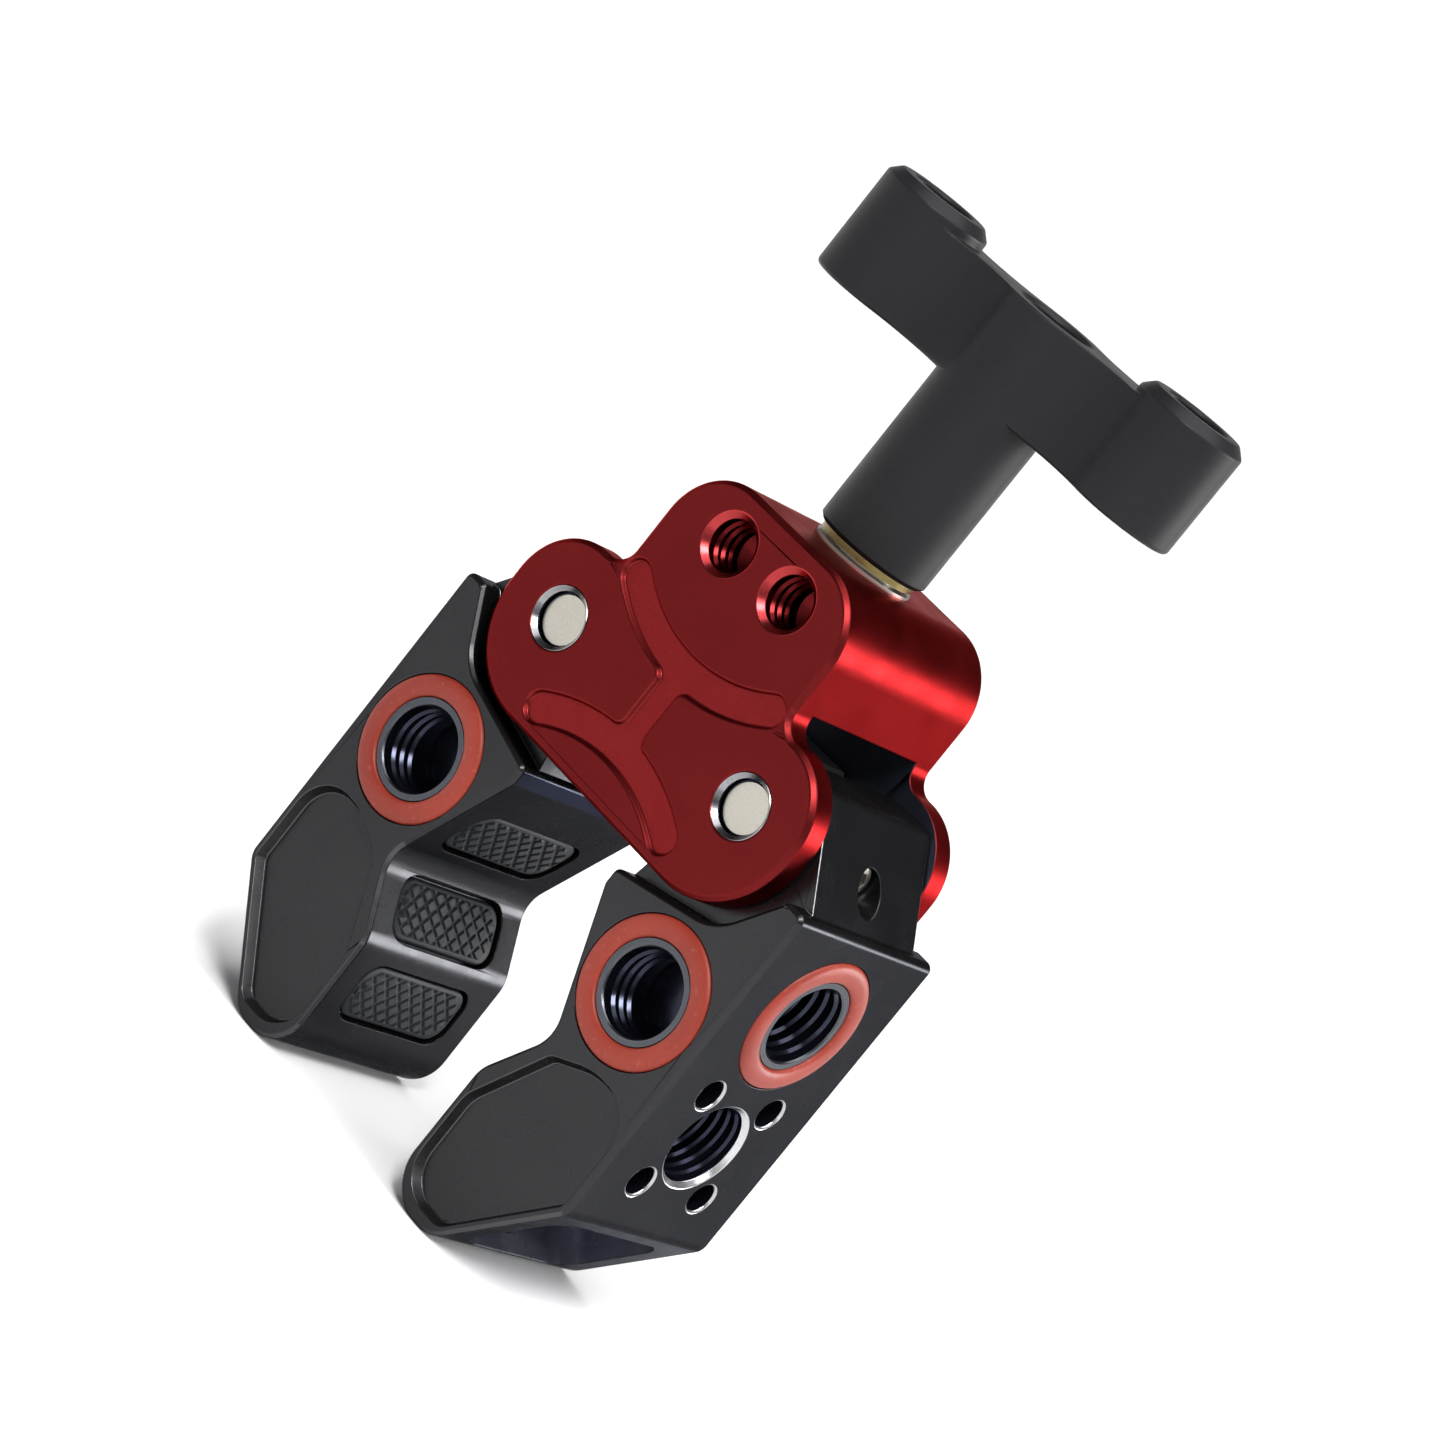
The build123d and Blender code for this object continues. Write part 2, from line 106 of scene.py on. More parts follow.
# Jaws, drawn for the right one and mirrored for the left.
JAW_HALF_Y = JAW_HI.y
JAW_OUTER_X = JAW_HI.x
JAW_BOTTOM_Z = JAW_LO.z
JAW_TIP_X = 9.7
NOTCH_DEEP = (14.15, -29.0)      # bottom of the grip notch
NOTCH_LOW = (9.8, -36.4)         # its lower and upper shoulders
NOTCH_HIGH = (7.7, -14.9)
END_CORNER = (JAW_OUTER_X, -39.5)
END_TOE = (17.2, JAW_BOTTOM_Z)
TONGUE_HALF_Y = 9.3
TONGUE_R = 6.3
ARM, ARM_ANGLE = 8.0, 3.0        # hinge pin to the nose that rides in the nut, and its rise
ARM_HALF_Y, ARM_HALF_Z = 8.9, 1.3
NOSE_R = 2.0
PIN_BORE_R = 2.52
PANEL_DEPTH, PANEL_LEAN = 1.1, 0.5
END_POCKET_Y, END_POCKET_RUN, END_POCKET_DEPTH = 17.8, 12.2, 6.2
PLATE_HOLE_Z = MOUNT["plate_hole_right"][2] - LIFT
PLATE_MOUTH_R, PLATE_MOUTH_DEPTH, PLATE_DEPTH = 5.05, 0.53, 9.0
LOCATING_R, LOCATING_DEPTH = 1.65, 3.4
LOCATING_Y, LOCATING_Z = 5.3, 5.35
INSERT_R = 5.3
RING_R = 7.6
RING_GROOVE = 1.0                # depth of the collar's groove
PAD_BED_Z = -1.4                 # back and front of a pad, from the gripping face
PAD_TOP_Z = -0.30

# Handle.
BAR_LO, BAR_HI = 41.7, 52.2
BOSS_X, BOSS_R, BOSS_TOP_Z = 17.1, 6.0, 54.1
BOSS_SHOULDER = ((BOSS_R, 52.9), (5.97, 53.06), (5.88, 53.2), (5.1, 53.98), (4.98, 54.07),
                 (4.85, BOSS_TOP_Z))
BOSS_HOLE_R = 3.4
STEM_R = 6.25
WEB, BLEND = 3.5, 9.0            # half thickness of the bar, and its blends into stem and bosses
BAR_ANGLE = 11.7                 # the handle's turn at rest

# Thread ridges, crest inside the wall for a nut and outside it for a screw.
Thread = namedtuple("Thread", "wall crest pitch")
QUARTER = Thread(2.94, 2.66, 1.27)
SOCKET = Thread(4.46, 4.18, 1.36)
PLATE = Thread(4.52, 4.26, 1.2)
SPINDLE = Thread(3.42, 4.0, 1.25)


# --- mesh tools -----------------------------------------------------------------------------------
def arc(cx, cz, r, a0, a1, turn=6.0):
    """Points along an arc, angles in degrees."""
    steps = max(2, ceil(abs(a1 - a0) / turn))
    angles = [radians(a0 + (a1 - a0) * k / steps) for k in range(steps + 1)]
    return [(cx + r * cos(a), cz + r * sin(a)) for a in angles]


def thin(points):
    """Drops points that repeat their neighbour."""
    kept = []
    for p in points:
        if not kept or hypot(p[0] - kept[-1][0], p[1] - kept[-1][1]) > 1e-3:
            kept.append(p)
    if hypot(kept[0][0] - kept[-1][0], kept[0][1] - kept[-1][1]) < 1e-3:
        kept.pop()
    return kept


def outline(corners, turn=6.0):
    """Closed outline from (x, z, corner radius), each corner a tangent arc."""
    points = []
    n = len(corners)
    for i in range(n):
        cx, cz, r = corners[i]
        corner = Vector((cx, cz))
        a = (Vector(corners[i - 1][:2]) - corner).normalized()
        b = (Vector(corners[(i + 1) % n][:2]) - corner).normalized()
        if r <= 0:
            points.append((cx, cz))
            continue
        half = a.angle(b) / 2
        centre = corner + (a + b).normalized() * (r / sin(half))
        v0 = corner + a * (r / tan(half)) - centre
        v1 = corner + b * (r / tan(half)) - centre
        a0 = degrees(atan2(v0.y, v0.x))
        sweep = degrees(atan2(v0.x * v1.y - v0.y * v1.x, v0.dot(v1)))
        points += arc(centre.x, centre.y, r, a0, a0 + sweep, turn)
    return thin(points)


def area(poly):
    return sum(poly[i - 1][0] * poly[i][1] - poly[i][0] * poly[i - 1][1] for i in range(len(poly))) / 2


def inset(points, d):
    """The closed outline moved inwards by d."""
    if not d:
        return points
    n = len(points)
    way = 1 if area(points) > 0 else -1
    moved = []
    for i in range(n):
        p, c, q = Vector(points[i - 1]), Vector(points[i]), Vector(points[(i + 1) % n])
        u, v = (c - p).normalized(), (q - c).normalized()
        nu, nv = Vector((-u.y, u.x)) * way, Vector((-v.y, v.x)) * way
        m = (nu + nv) / max(0.3, 1 + nu.dot(nv))
        moved.append(tuple(c + m * d))
    return moved


def band(bm, a, b):
    """A strip of faces between two closed rows of vertices."""
    for j in range(len(a)):
        k = (j + 1) % len(a)
        bm.faces.new((a[j], a[k], b[k], b[j]))


def skin(rings, shut=False):
    """Mesh through rings of points, capped at both ends, or joined end to end when shut."""
    bm = bmesh.new()
    rows = [[bm.verts.new(p) for p in ring] for ring in rings]
    for a, b in zip(rows, rows[1:]):
        band(bm, a, b)
    if shut:
        band(bm, rows[-1], rows[0])
    else:
        bm.faces.new(rows[0][::-1])
        bm.faces.new(rows[-1])
    return bm


def make(name, bm):
    bmesh.ops.recalc_face_normals(bm, faces=bm.faces)
    mesh = bpy.data.meshes.new(name)
    bm.to_mesh(mesh)
    bm.free()
    ob = bpy.data.objects.new(name, mesh)
    bpy.context.scene.collection.objects.link(ob)
    return ob


def stack_y(points, steps):
    """An XZ outline stacked along Y, each step (y, inset)."""
    return make("stack", skin([[(x, y, z) for x, z in inset(points, d)] for y, d in steps]))


def stack_z(points, steps):
    """An XY outline stacked up Z, each step (z, inset)."""
    return make("stack", skin([[(x, y, z) for x, y in inset(points, d)] for z, d in steps]))


def prism(points, y0, y1, edge=0.0):
    """An XZ outline carried from y0 to y1, its two rims cut back by edge."""
    if not edge:
        return stack_y(points, [(y0, 0), (y1, 0)])
    return stack_y(points, [(y0, edge), (y0 + edge, 0), (y1 - edge, 0), (y1, edge)])


def pocket(points, side, face_y, depth, lean):
    """Cutter for an area sunk into a face, its walls leaning in by lean."""
    return stack_y(points, [(face_y + side, 0), (face_y, 0), (face_y - side * depth, lean)])


def hex_key(r, z0, z1):
    """Cutter for a hex socket, r to its corners."""
    corners = [(r * cos(radians(60 * k)), r * sin(radians(60 * k))) for k in range(6)]
    return stack_z(corners, [(z0, 0), (z1, 0)])


def frame_at(spot, along):
    turn = Vector(along).to_track_quat("Z", "Y").to_matrix().to_4x4()
    return Matrix.Translation(Vector(spot)) @ turn


def lathe(profile, spot=(0, 0, 0), along=(0, 0, 1), seg=72, shut=False):
    """(radius, height) profile turned about an axis that starts at spot."""
    rings = []
    for r, h in profile:
        rings.append([(r * cos(2 * pi * k / seg), r * sin(2 * pi * k / seg), h) for k in range(seg)])
    ob = make("lathe", skin(rings, shut))
    ob.data.transform(frame_at(spot, along))
    return ob


def coil(thread, length, spot, along, start=0.0, seg=48):
    """Right-hand thread ridge on its wall, begun at a start depth and fading out at both ends."""
    wall, crest, pitch = thread
    bedded, fade_steps = 0.02, 14
    half = min(pitch * 0.46, abs(wall - crest) + pitch * 0.06)
    flat = pitch * 0.05
    root = wall + (bedded if wall > crest else -bedded)
    steps = int((length - start - 2 * half) / pitch * seg)
    rings = []
    for k in range(steps + 1):
        h = start + half + pitch * k / seg
        a = 2 * pi * k / seg
        fade = min(1.0, k / fade_steps, (steps - k) / fade_steps)
        tip = wall + (crest - wall) * fade
        section = [(root, h - half), (tip, h - flat), (tip, h + flat), (root, h + half)]
        rings.append([(r * cos(a), r * sin(a), z) for r, z in section])
    ob = make("coil", skin(rings))
    ob.data.transform(frame_at(spot, along))
    return ob


def bake(ob):
    """Applies the piece's modifiers."""
    dg = bpy.context.evaluated_depsgraph_get()
    mesh = bpy.data.meshes.new_from_object(ob.evaluated_get(dg), depsgraph=dg)
    ob.modifiers.clear()
    ob.data = mesh
    return ob


def combine(ob, others, operation="DIFFERENCE"):
    """Cuts the others out of a piece, or melts them into it, one after another."""
    for other in others:
        m = ob.modifiers.new(operation.lower(), "BOOLEAN")
        m.operation = operation
        m.solver = "EXACT"
        m.object = other
    bake(ob)
    for other in others:
        bpy.data.objects.remove(other)
    return ob


def gather(ob, others):
    """Adds the others' faces to a piece as they are."""
    bm = bmesh.new()
    bm.from_mesh(ob.data)
    for other in others:
        bm.from_mesh(other.data)
        bpy.data.objects.remove(other)
    bm.to_mesh(ob.data)
    bm.free()
    return ob


def round_edges(ob, width, segments=2, angle=30):
    """Breaks every edge sharper than angle."""
    merge = 0.004
    bm = bmesh.new()
    bm.from_mesh(ob.data)
    bmesh.ops.remove_doubles(bm, verts=bm.verts, dist=merge)
    bmesh.ops.dissolve_degenerate(bm, edges=bm.edges, dist=merge)
    bmesh.ops.triangulate(bm, faces=[f for f in bm.faces if len(f.verts) > 4])
    bm.to_mesh(ob.data)
    bm.free()
    m = ob.modifiers.new("edges", "BEVEL")
    m.width = width
    m.segments = segments
    m.limit_method = "ANGLE"
    m.angle_limit = radians(angle)
    m.use_clamp_overlap = False
    return bake(ob)


def even_normals(ob, angle=40):
    """Shades large faces flat and lets the small ones between them carry the bend."""
    for p in ob.data.polygons:
        p.use_smooth = True
    ob.data.set_sharp_from_angle(angle=radians(angle))
    m = ob.modifiers.new("normals", "WEIGHTED_NORMAL")
    m.keep_sharp = True
    m.weight = 60
    return bake(ob)


def tag(ob, name, test):
    """Stores test(middle, normal) of each face as a value that the finishes read."""
    layer = ob.data.attributes.new(name, "FLOAT", "FACE")
    layer.data.foreach_set("value", [float(test(p.center, p.normal)) for p in ob.data.polygons])
    return ob


def settle(ob, name, body, finish, nodes=()):
    """Carries a finished piece into the shared frame and onto its body, in place of the nodes."""
    ob.data.transform(Matrix.Scale(0.001, 4) @ Matrix.Translation((0, 0, LIFT)))
    ob.name = name
    ob.data.name = name
    ob.data.materials.clear()
    ob.data.materials.append(finish)
    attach(ob, body)
    if nodes:
        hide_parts(*nodes)
    return ob


# --- finishes -------------------------------------------------------------------------------------
class Tree:
    """A node tree under construction."""

    def __init__(self, tree):
        self.tree = tree

    def add(self, kind, **settings):
        node = self.tree.nodes.new(kind)
        for key, value in settings.items():
            setattr(node, key, value)
        return node

    def link(self, source, target):
        self.tree.links.new(source, target)

    def span(self, source, a, b, c, d, **settings):
        """Carries the range a to b over to c to d."""
        node = self.add("ShaderNodeMapRange", **settings)
        for key, value in zip(("From Min", "From Max", "To Min", "To Max"), (a, b, c, d)):
            node.inputs[key].default_value = value
        self.link(source, node.inputs["Value"])
        return node.outputs["Result"]


class Recipe(Tree):
    """A material under construction."""

    def __init__(self, name):
        self.mat = bpy.data.materials.new(name)
        self.mat.use_nodes = True
        super().__init__(self.mat.node_tree)
        self.shader = self.tree.nodes["Principled BSDF"]
        self.place = self.add("ShaderNodeTexCoord").outputs["Object"]

    def noise(self, scale, detail=3.0, stretch=None, distortion=0.0):
        node = self.add("ShaderNodeTexNoise")
        node.inputs["Scale"].default_value = scale
        node.inputs["Detail"].default_value = detail
        node.inputs["Distortion"].default_value = distortion
        source = self.place
        if stretch:
            mapping = self.add("ShaderNodeMapping")
            mapping.inputs["Scale"].default_value = stretch
            self.link(source, mapping.inputs["Vector"])
            source = mapping.outputs["Vector"]
        self.link(source, node.inputs["Vector"])
        return node.outputs["Fac"]

    def maths(self, kind, a, b):
        node = self.add("ShaderNodeMath", operation=kind, use_clamp=True)
        self.link(a, node.inputs[0])
        if isinstance(b, float):
            node.inputs[1].default_value = b
        else:
            self.link(b, node.inputs[1])
        return node.outputs[0]

    def mix(self, amount, a, b):
        node = self.add("ShaderNodeMix", data_type="RGBA")
        self.link(amount, node.inputs["Factor"])
        for socket, value in ((node.inputs[6], a), (node.inputs[7], b)):
            if isinstance(value, tuple):
                socket.default_value = (*value, 1.0)
            else:
                self.link(value, socket)
        return node.outputs[2]

    def edges(self, radius):
        """1 on edges and corners, 0 on open faces."""
        soft = self.add("ShaderNodeBevel", samples=4)
        soft.inputs["Radius"].default_value = radius
        flat = self.add("ShaderNodeNewGeometry").outputs["Normal"]
        dot = self.add("ShaderNodeVectorMath", operation="DOT_PRODUCT")
        self.link(soft.outputs["Normal"], dot.inputs[0])
        self.link(flat, dot.inputs[1])
        return self.span(dot.outputs["Value"], 0.995, 0.86, 0.0, 1.0)

    def bump(self, layers):
        """Stacks (height, strength, distance) layers of relief."""
        last = None
        for height, strength, distance in layers:
            node = self.add("ShaderNodeBump")
            node.inputs["Strength"].default_value = strength
            node.inputs["Distance"].default_value = distance
            self.link(height, node.inputs["Height"])
            if last:
                self.link(last, node.inputs["Normal"])
            last = node.outputs["Normal"]
        self.link(last, self.shader.inputs["Normal"])

    def set(self, **values):
        for key, value in values.items():
            self.shader.inputs[key.replace("_", " ")].default_value = value


def metal(name, dark, light, rough, metallic, wear, wear_at, grain, lines=None, specular=0.5,
          tint=None, tags=()):
    """Machined metal: drifting tone, fine blasted or brushed grain, handled patches, rubbed edges.

    grain is (scale, strength, distance), lines (scale, stretch, strength). Each tag is (layer, colour,
    smooth): faces tagged with the layer take the colour and lose that much roughness.
    """
    edge_radius, line_depth = 0.00022, 0.00002
    r = Recipe(name)
    drift = r.noise(38, 2.5)
    patch = r.noise(210, 5.0, distortion=0.4)
    fine = r.noise(grain[0], 2.0)
    tone = r.mix(r.span(drift, 0.36, 0.64, 0.0, 1.0), dark, light)
    tone = r.mix(r.span(fine, 0.3, 0.7, 0.0, 0.35), tone, tuple(min(1.0, c * 1.35) for c in light))
    rub = r.maths("MULTIPLY", r.edges(edge_radius), r.span(patch, 0.35, 0.65, 0.6, 1.0))
    tone = r.mix(r.maths("MULTIPLY", rub, wear_at), tone, wear)
    gloss = r.span(patch, 0.3, 0.7, rough - 0.05, rough + 0.06)
    for layer, colour, smooth in tags:
        mask = r.add("ShaderNodeAttribute", attribute_name=layer).outputs["Fac"]
        shade = r.mix(r.span(fine, 0.3, 0.7, 0.0, 1.0), colour, tuple(c * 1.2 for c in colour))
        tone = r.mix(mask, tone, shade)
        if smooth:
            gloss = r.maths("SUBTRACT", gloss, r.maths("MULTIPLY", mask, smooth))
    r.link(tone, r.shader.inputs["Base Color"])
    r.link(gloss, r.shader.inputs["Roughness"])
    layers = [(fine, grain[1], grain[2])]
    if lines:
        scale, stretch, strength = lines
        layers.append((r.noise(scale, 3.0, stretch), strength, line_depth))
    layers.append((drift, 0.05, 0.0002))
    r.bump(layers)
    r.set(Metallic=metallic, Specular_IOR_Level=specular)
    if tint:
        r.set(Specular_Tint=(*tint, 1.0))
    return r.mat


def polymer(name, dark, light, rough, grain, dust, specular):
    """Moulded rubber or silicone: mottled tone, matt patches, soft pitted skin, dusty edges.

    grain is (scale, strength).
    """
    edge_radius, pit_depth = 0.0003, 0.00004
    r = Recipe(name)
    drift = r.noise(120, 3.0)
    fine = r.noise(grain[0], 4.0)
    tone = r.mix(r.span(drift, 0.35, 0.65, 0.0, 1.0), dark, light)
    lint = r.maths("MULTIPLY", r.span(fine, 0.60, 0.78, 0.0, 1.0), 0.25)
    tone = r.mix(lint, tone, dust)
    rim = r.maths("MULTIPLY", r.edges(edge_radius), 0.14)
    r.link(r.mix(rim, tone, dust), r.shader.inputs["Base Color"])
    r.link(r.span(drift, 0.3, 0.7, rough - 0.06, rough + 0.08), r.shader.inputs["Roughness"])
    r.bump([(fine, grain[1], pit_depth), (drift, 0.2, 0.0002)])
    r.set(Specular_IOR_Level=specular)
    return r.mat


# Painted shade for the bores and thread ridges of the jaws and the inserts.
BORE_PAINTED_SHADE = (0.020, 0.022, 0.034)
# Red tags: floor_cut is the relief floor's lighter machined tone; lip is the tapped holes' lighter cut mouths,
# partly a painted highlight, plus a painted highlight on the relief walls; bore is painted shade in the tapped
# holes and on their thread ridges; inside is painted shade over the slot's inside faces.
RED = metal(
    "red_anodised", dark=(0.092, 0.0072, 0.0078), light=(0.108, 0.0086, 0.0092), rough=0.35, metallic=0.96,
    wear=(0.26, 0.022, 0.024), wear_at=0.55, grain=(5200, 0.10, 0.00002), tint=(1.0, 0.34, 0.34),
    tags=(("floor_cut", (0.142, 0.0105, 0.0115), None), ("lip", (0.27, 0.028, 0.030), 0.13),
          ("bore", (0.070, 0.0052, 0.0060), 0.17), ("inside", (0.075, 0.085, 0.115), None)))
# Black tags: the first is a bare-metal tone on the outer holes' cut mouths, partly a painted highlight, plus a
# painted highlight on the tongue's long edges and the panels' walls; the pocket tag is painted light over the end
# pocket's walls; the bore tag is painted shade.
BLACK = metal(
    "black_anodised", dark=(0.024, 0.024, 0.0252), light=(0.030, 0.030, 0.0315), rough=0.25, metallic=0.88,
    wear=(0.13, 0.13, 0.14), wear_at=0.25, grain=(5200, 0.10, 0.00002), specular=0.4,
    tint=(0.30, 0.31, 0.34),
    tags=(("bare_metal_and_highlight", (0.42, 0.42, 0.43), 0.05), ("pocket", (0.19, 0.195, 0.245), None),
          ("bore", BORE_PAINTED_SHADE, 0.08)))
GRIP = metal(
    "black_handle", dark=(0.0065, 0.0067, 0.0078), light=(0.0085, 0.0088, 0.0100), rough=0.44, metallic=0.0,
    wear=(0.05, 0.05, 0.055), wear_at=0.30, grain=(3400, 0.16, 0.00003), specular=0.16)
STEEL = metal(
    "steel", dark=(0.36, 0.345, 0.30), light=(0.42, 0.40, 0.355), rough=0.34, metallic=0.95,
    wear=(0.66, 0.65, 0.61), wear_at=0.4, grain=(4200, 0.12, 0.00002))
# The bush's inside tag is painted shade in its counterbore.
BUSH = metal(
    "bush_steel", dark=(0.17, 0.17, 0.18), light=(0.23, 0.23, 0.24), rough=0.20, metallic=1.0,
    wear=(0.45, 0.45, 0.46), wear_at=0.4, grain=(4200, 0.10, 0.00001),
    tags=(("inside", (0.010, 0.012, 0.020), None),))
DARK_STEEL = metal(
    "dark_steel", dark=(0.16, 0.16, 0.17), light=(0.22, 0.22, 0.23), rough=0.34, metallic=0.9,
    wear=(0.5, 0.5, 0.5), wear_at=0.4, grain=(4200, 0.15, 0.00002))
NUT_STEEL = metal(
    "nut_steel", dark=(0.22, 0.22, 0.23), light=(0.30, 0.30, 0.31), rough=0.36, metallic=0.9,
    wear=(0.6, 0.6, 0.6), wear_at=0.4, grain=(2600, 0.12, 0.00002), lines=(900, (1, 1, 14), 0.2))
# The insert's bore tag is painted shade inside its threaded bore.
INSERT = metal(
    "insert_steel", dark=(0.046, 0.050, 0.058), light=(0.060, 0.064, 0.073), rough=0.26, metallic=0.9,
    wear=(0.16, 0.165, 0.18), wear_at=0.4, grain=(3000, 0.12, 0.00002), tags=(("bore", BORE_PAINTED_SHADE, 0.10),))
BRASS = metal(
    "brass", dark=(0.135, 0.105, 0.036), light=(0.19, 0.15, 0.060), rough=0.30, metallic=0.95,
    wear=(0.42, 0.36, 0.18), wear_at=0.45, grain=(2600, 0.12, 0.00002), lines=(700, (1, 1, 18), 0.2))
RUBBER = polymer(
    "pad_rubber", dark=(0.0045, 0.0060, 0.0085), light=(0.0075, 0.0095, 0.0130), rough=0.52,
    grain=(2600, 0.25), dust=(0.035, 0.042, 0.052), specular=0.22)
SILICONE = polymer(
    "red_silicone", dark=(0.185, 0.0200, 0.0110), light=(0.235, 0.0280, 0.0160), rough=0.38,
    grain=(1700, 0.14), dust=(0.42, 0.16, 0.12), specular=0.25)


# --- clevis body ----------------------------------------------------------------------------------
def relief_outline():
    """Two curved bars joined by an upright, inner corners rounded."""
    half, stem, blend = RELIEF_R, 1.6, 1.0

    def bar(middle_z, end_x, end_z):
        """Right half of a bar, from the middle of its far side round its tip to the upright."""
        rise = end_z - middle_z
        big = (end_x ** 2 + rise ** 2) / (2 * abs(rise))
        way = 1 if rise > 0 else -1
        cz = middle_z + way * big
        spread = degrees(acos((big - abs(rise)) / big))
        dip = sqrt((big + half + blend) ** 2 - (stem + blend) ** 2)
        lean = degrees(atan2(stem + blend, dip))
        down = -90 if way > 0 else 90
        far = arc(0, cz, big - half, down, down + way * spread, 2.0)
        tip = radians(down + way * spread)
        ex, ez = big * cos(tip), cz + big * sin(tip)
        out = degrees(tip)
        cap = arc(ex, ez, half, out + way * 180, out, 10)
        near = arc(0, cz, big + half, down + way * spread, down + way * lean, 2.0)
        bx, bz = stem + blend, cz - way * dip
        turn = degrees(atan2(way * dip, -bx))
        corner = arc(bx, bz, blend, turn, 180 if way > 0 else -180, 12)
        return far + cap[1:-1] + near + corner

    upper = bar(middle_z=5.1, end_x=10.9, end_z=8.4)
    lower = bar(middle_z=-4.75, end_x=10.3, end_z=-7.6)
    right = upper + lower[::-1]
    left = [(-x, z) for x, z in reversed(right)]
    return thin(right + left)


def quarter_holes():
    """Mouth, direction into the block and depth of the four small tapped holes."""
    rows = []
    for face, side in FACES:
        for hand, depth in QUARTER_DEPTHS.items():
            x, _, z = MOUNT[f"quarter_{face}_{hand}"]
            rows.append(((x, side * BODY_HALF_Y, z - LIFT), (0, -side, 0), depth))
    return rows


def clevis_cuts(holes):
    """The jaws' slot, the spindle's bore, the bushes' seats, the relief and the tapped holes."""
    far, low = 40, -30
    slot = outline([(-far, low, 0), (far, low, 0), (far, SLOT_TOP_Z, 0), (-far, SLOT_TOP_Z, 0)])
    cuts = [prism(slot, -SLOT_HALF_Y, SLOT_HALF_Y)]
    cuts.append(lathe([(SPINDLE_BORE_R, 9.0), (SPINDLE_BORE_R, THRUST_SEAT_Z), (THRUST_R, THRUST_SEAT_Z),
                       (THRUST_R, 24.0)]))
    broken = 0.12
    seat = [(BUSH_R + broken, -1), (BUSH_R + broken, 0), (BUSH_R, broken), (BUSH_R, 4.0)]
    for side in (-1, 1):
        face_y = side * BODY_HALF_Y
        for x in (-PIN_X, PIN_X):
            cuts.append(lathe(seat, (x, face_y, 0), (0, -side, 0)))
        cuts.append(pocket(relief_outline(), side, face_y, RELIEF_DEPTH, RELIEF_LEAN))
    for spot, into, depth in holes:
        cone_depth = QUARTER_MOUTH_R - QUARTER.crest
        cone = [(QUARTER_MOUTH_R, -1), (QUARTER_MOUTH_R, 0), (QUARTER.crest, cone_depth)]
        bore = [(QUARTER.crest, QUARTER_START), (QUARTER.wall, 1.0), (QUARTER.wall, depth),
                (0.2, depth + 1.2)]
        cuts.append(lathe(cone + bore, spot, into, 64))
    return cuts


def tag_clevis(body, holes):
    """Marks painted shade on the slot's inside, the relief's floor and its walls with their painted highlight, and
    the tapped holes with a partly painted highlight at their mouths and painted shade within.
    """
    near, lip_depth = 0.02, 0.72

    def sunk(c):
        return BODY_HALF_Y - abs(c.y)

    def at_hole(c, reach):
        return any(hypot(c.x - spot[0], c.z - spot[2]) < reach for spot, _, _ in holes)

    def at_pin(c):
        return hypot(abs(c.x) - PIN_X, c.z) < 4

    def at_relief(c):
        return abs(c.x) < 13.2 and abs(c.z) < 10.6

    # Painted shade: a dark bluish tone over the slot's inside faces.
    def inside(c, n):
        return abs(c.y) < SLOT_HALF_Y + near and c.z < SLOT_TOP_Z + near

    def floor_cut(c, n):
        return abs(sunk(c) - RELIEF_DEPTH) < near and abs(n.y) > 0.99 and at_relief(c)

    def lip(c, n):
        """Lighter cut mouths of the tapped holes, partly a painted highlight, and a painted highlight on the
        relief's walls.
        """
        if at_hole(c, QUARTER_MOUTH_R + 0.1):
            return sunk(c) < lip_depth and abs(n.y) < 0.97
        wall = 0.03 < sunk(c) < RELIEF_DEPTH - 0.01 and 0.2 < abs(n.y) < 0.95
        return 0.22 * (wall and at_relief(c) and not at_pin(c))

    # Painted shade inside the tapped holes.
    def bore(c, n):
        return at_hole(c, QUARTER_MOUTH_R - 0.05) and lip_depth < sunk(c) < 8

    for name, test in (("inside", inside), ("floor_cut", floor_cut), ("lip", lip), ("bore", bore)):
        tag(body, name, test)


def clevis():
    half = [(LOBE_X, BODY_LO.z, 9.9), (LOBE_X, LOBE_TOP_Z, 7.25), (BLOCK_X, LOBE_TOP_Z, 2.2),
            (BLOCK_X, BODY_HI.z, 7.0)]
    shape = outline(half + [(-x, z, r) for x, z, r in reversed(half)], 3.0)
    body = prism(shape, -BODY_HALF_Y, BODY_HALF_Y, 0.5)
    holes = quarter_holes()
    combine(body, clevis_cuts(holes))
    round_edges(body, 0.13, 3)
    even_normals(body)
    tag_clevis(body, holes)
    settle(body, "clevis_shell", "body", RED, ["body_clevis"])
    for k, (spot, into, depth) in enumerate(holes):
        ridge = coil(QUARTER, depth, spot, into, QUARTER_START)
        settle(thread_look(ridge), f"quarter_thread_{k + 1}", "body", RED)


def thread_look(ridge):
    """Crisp flanks, in the painted shade of a bore."""
    even_normals(ridge, 28)
    return tag(ridge, "bore", lambda c, n: 1)


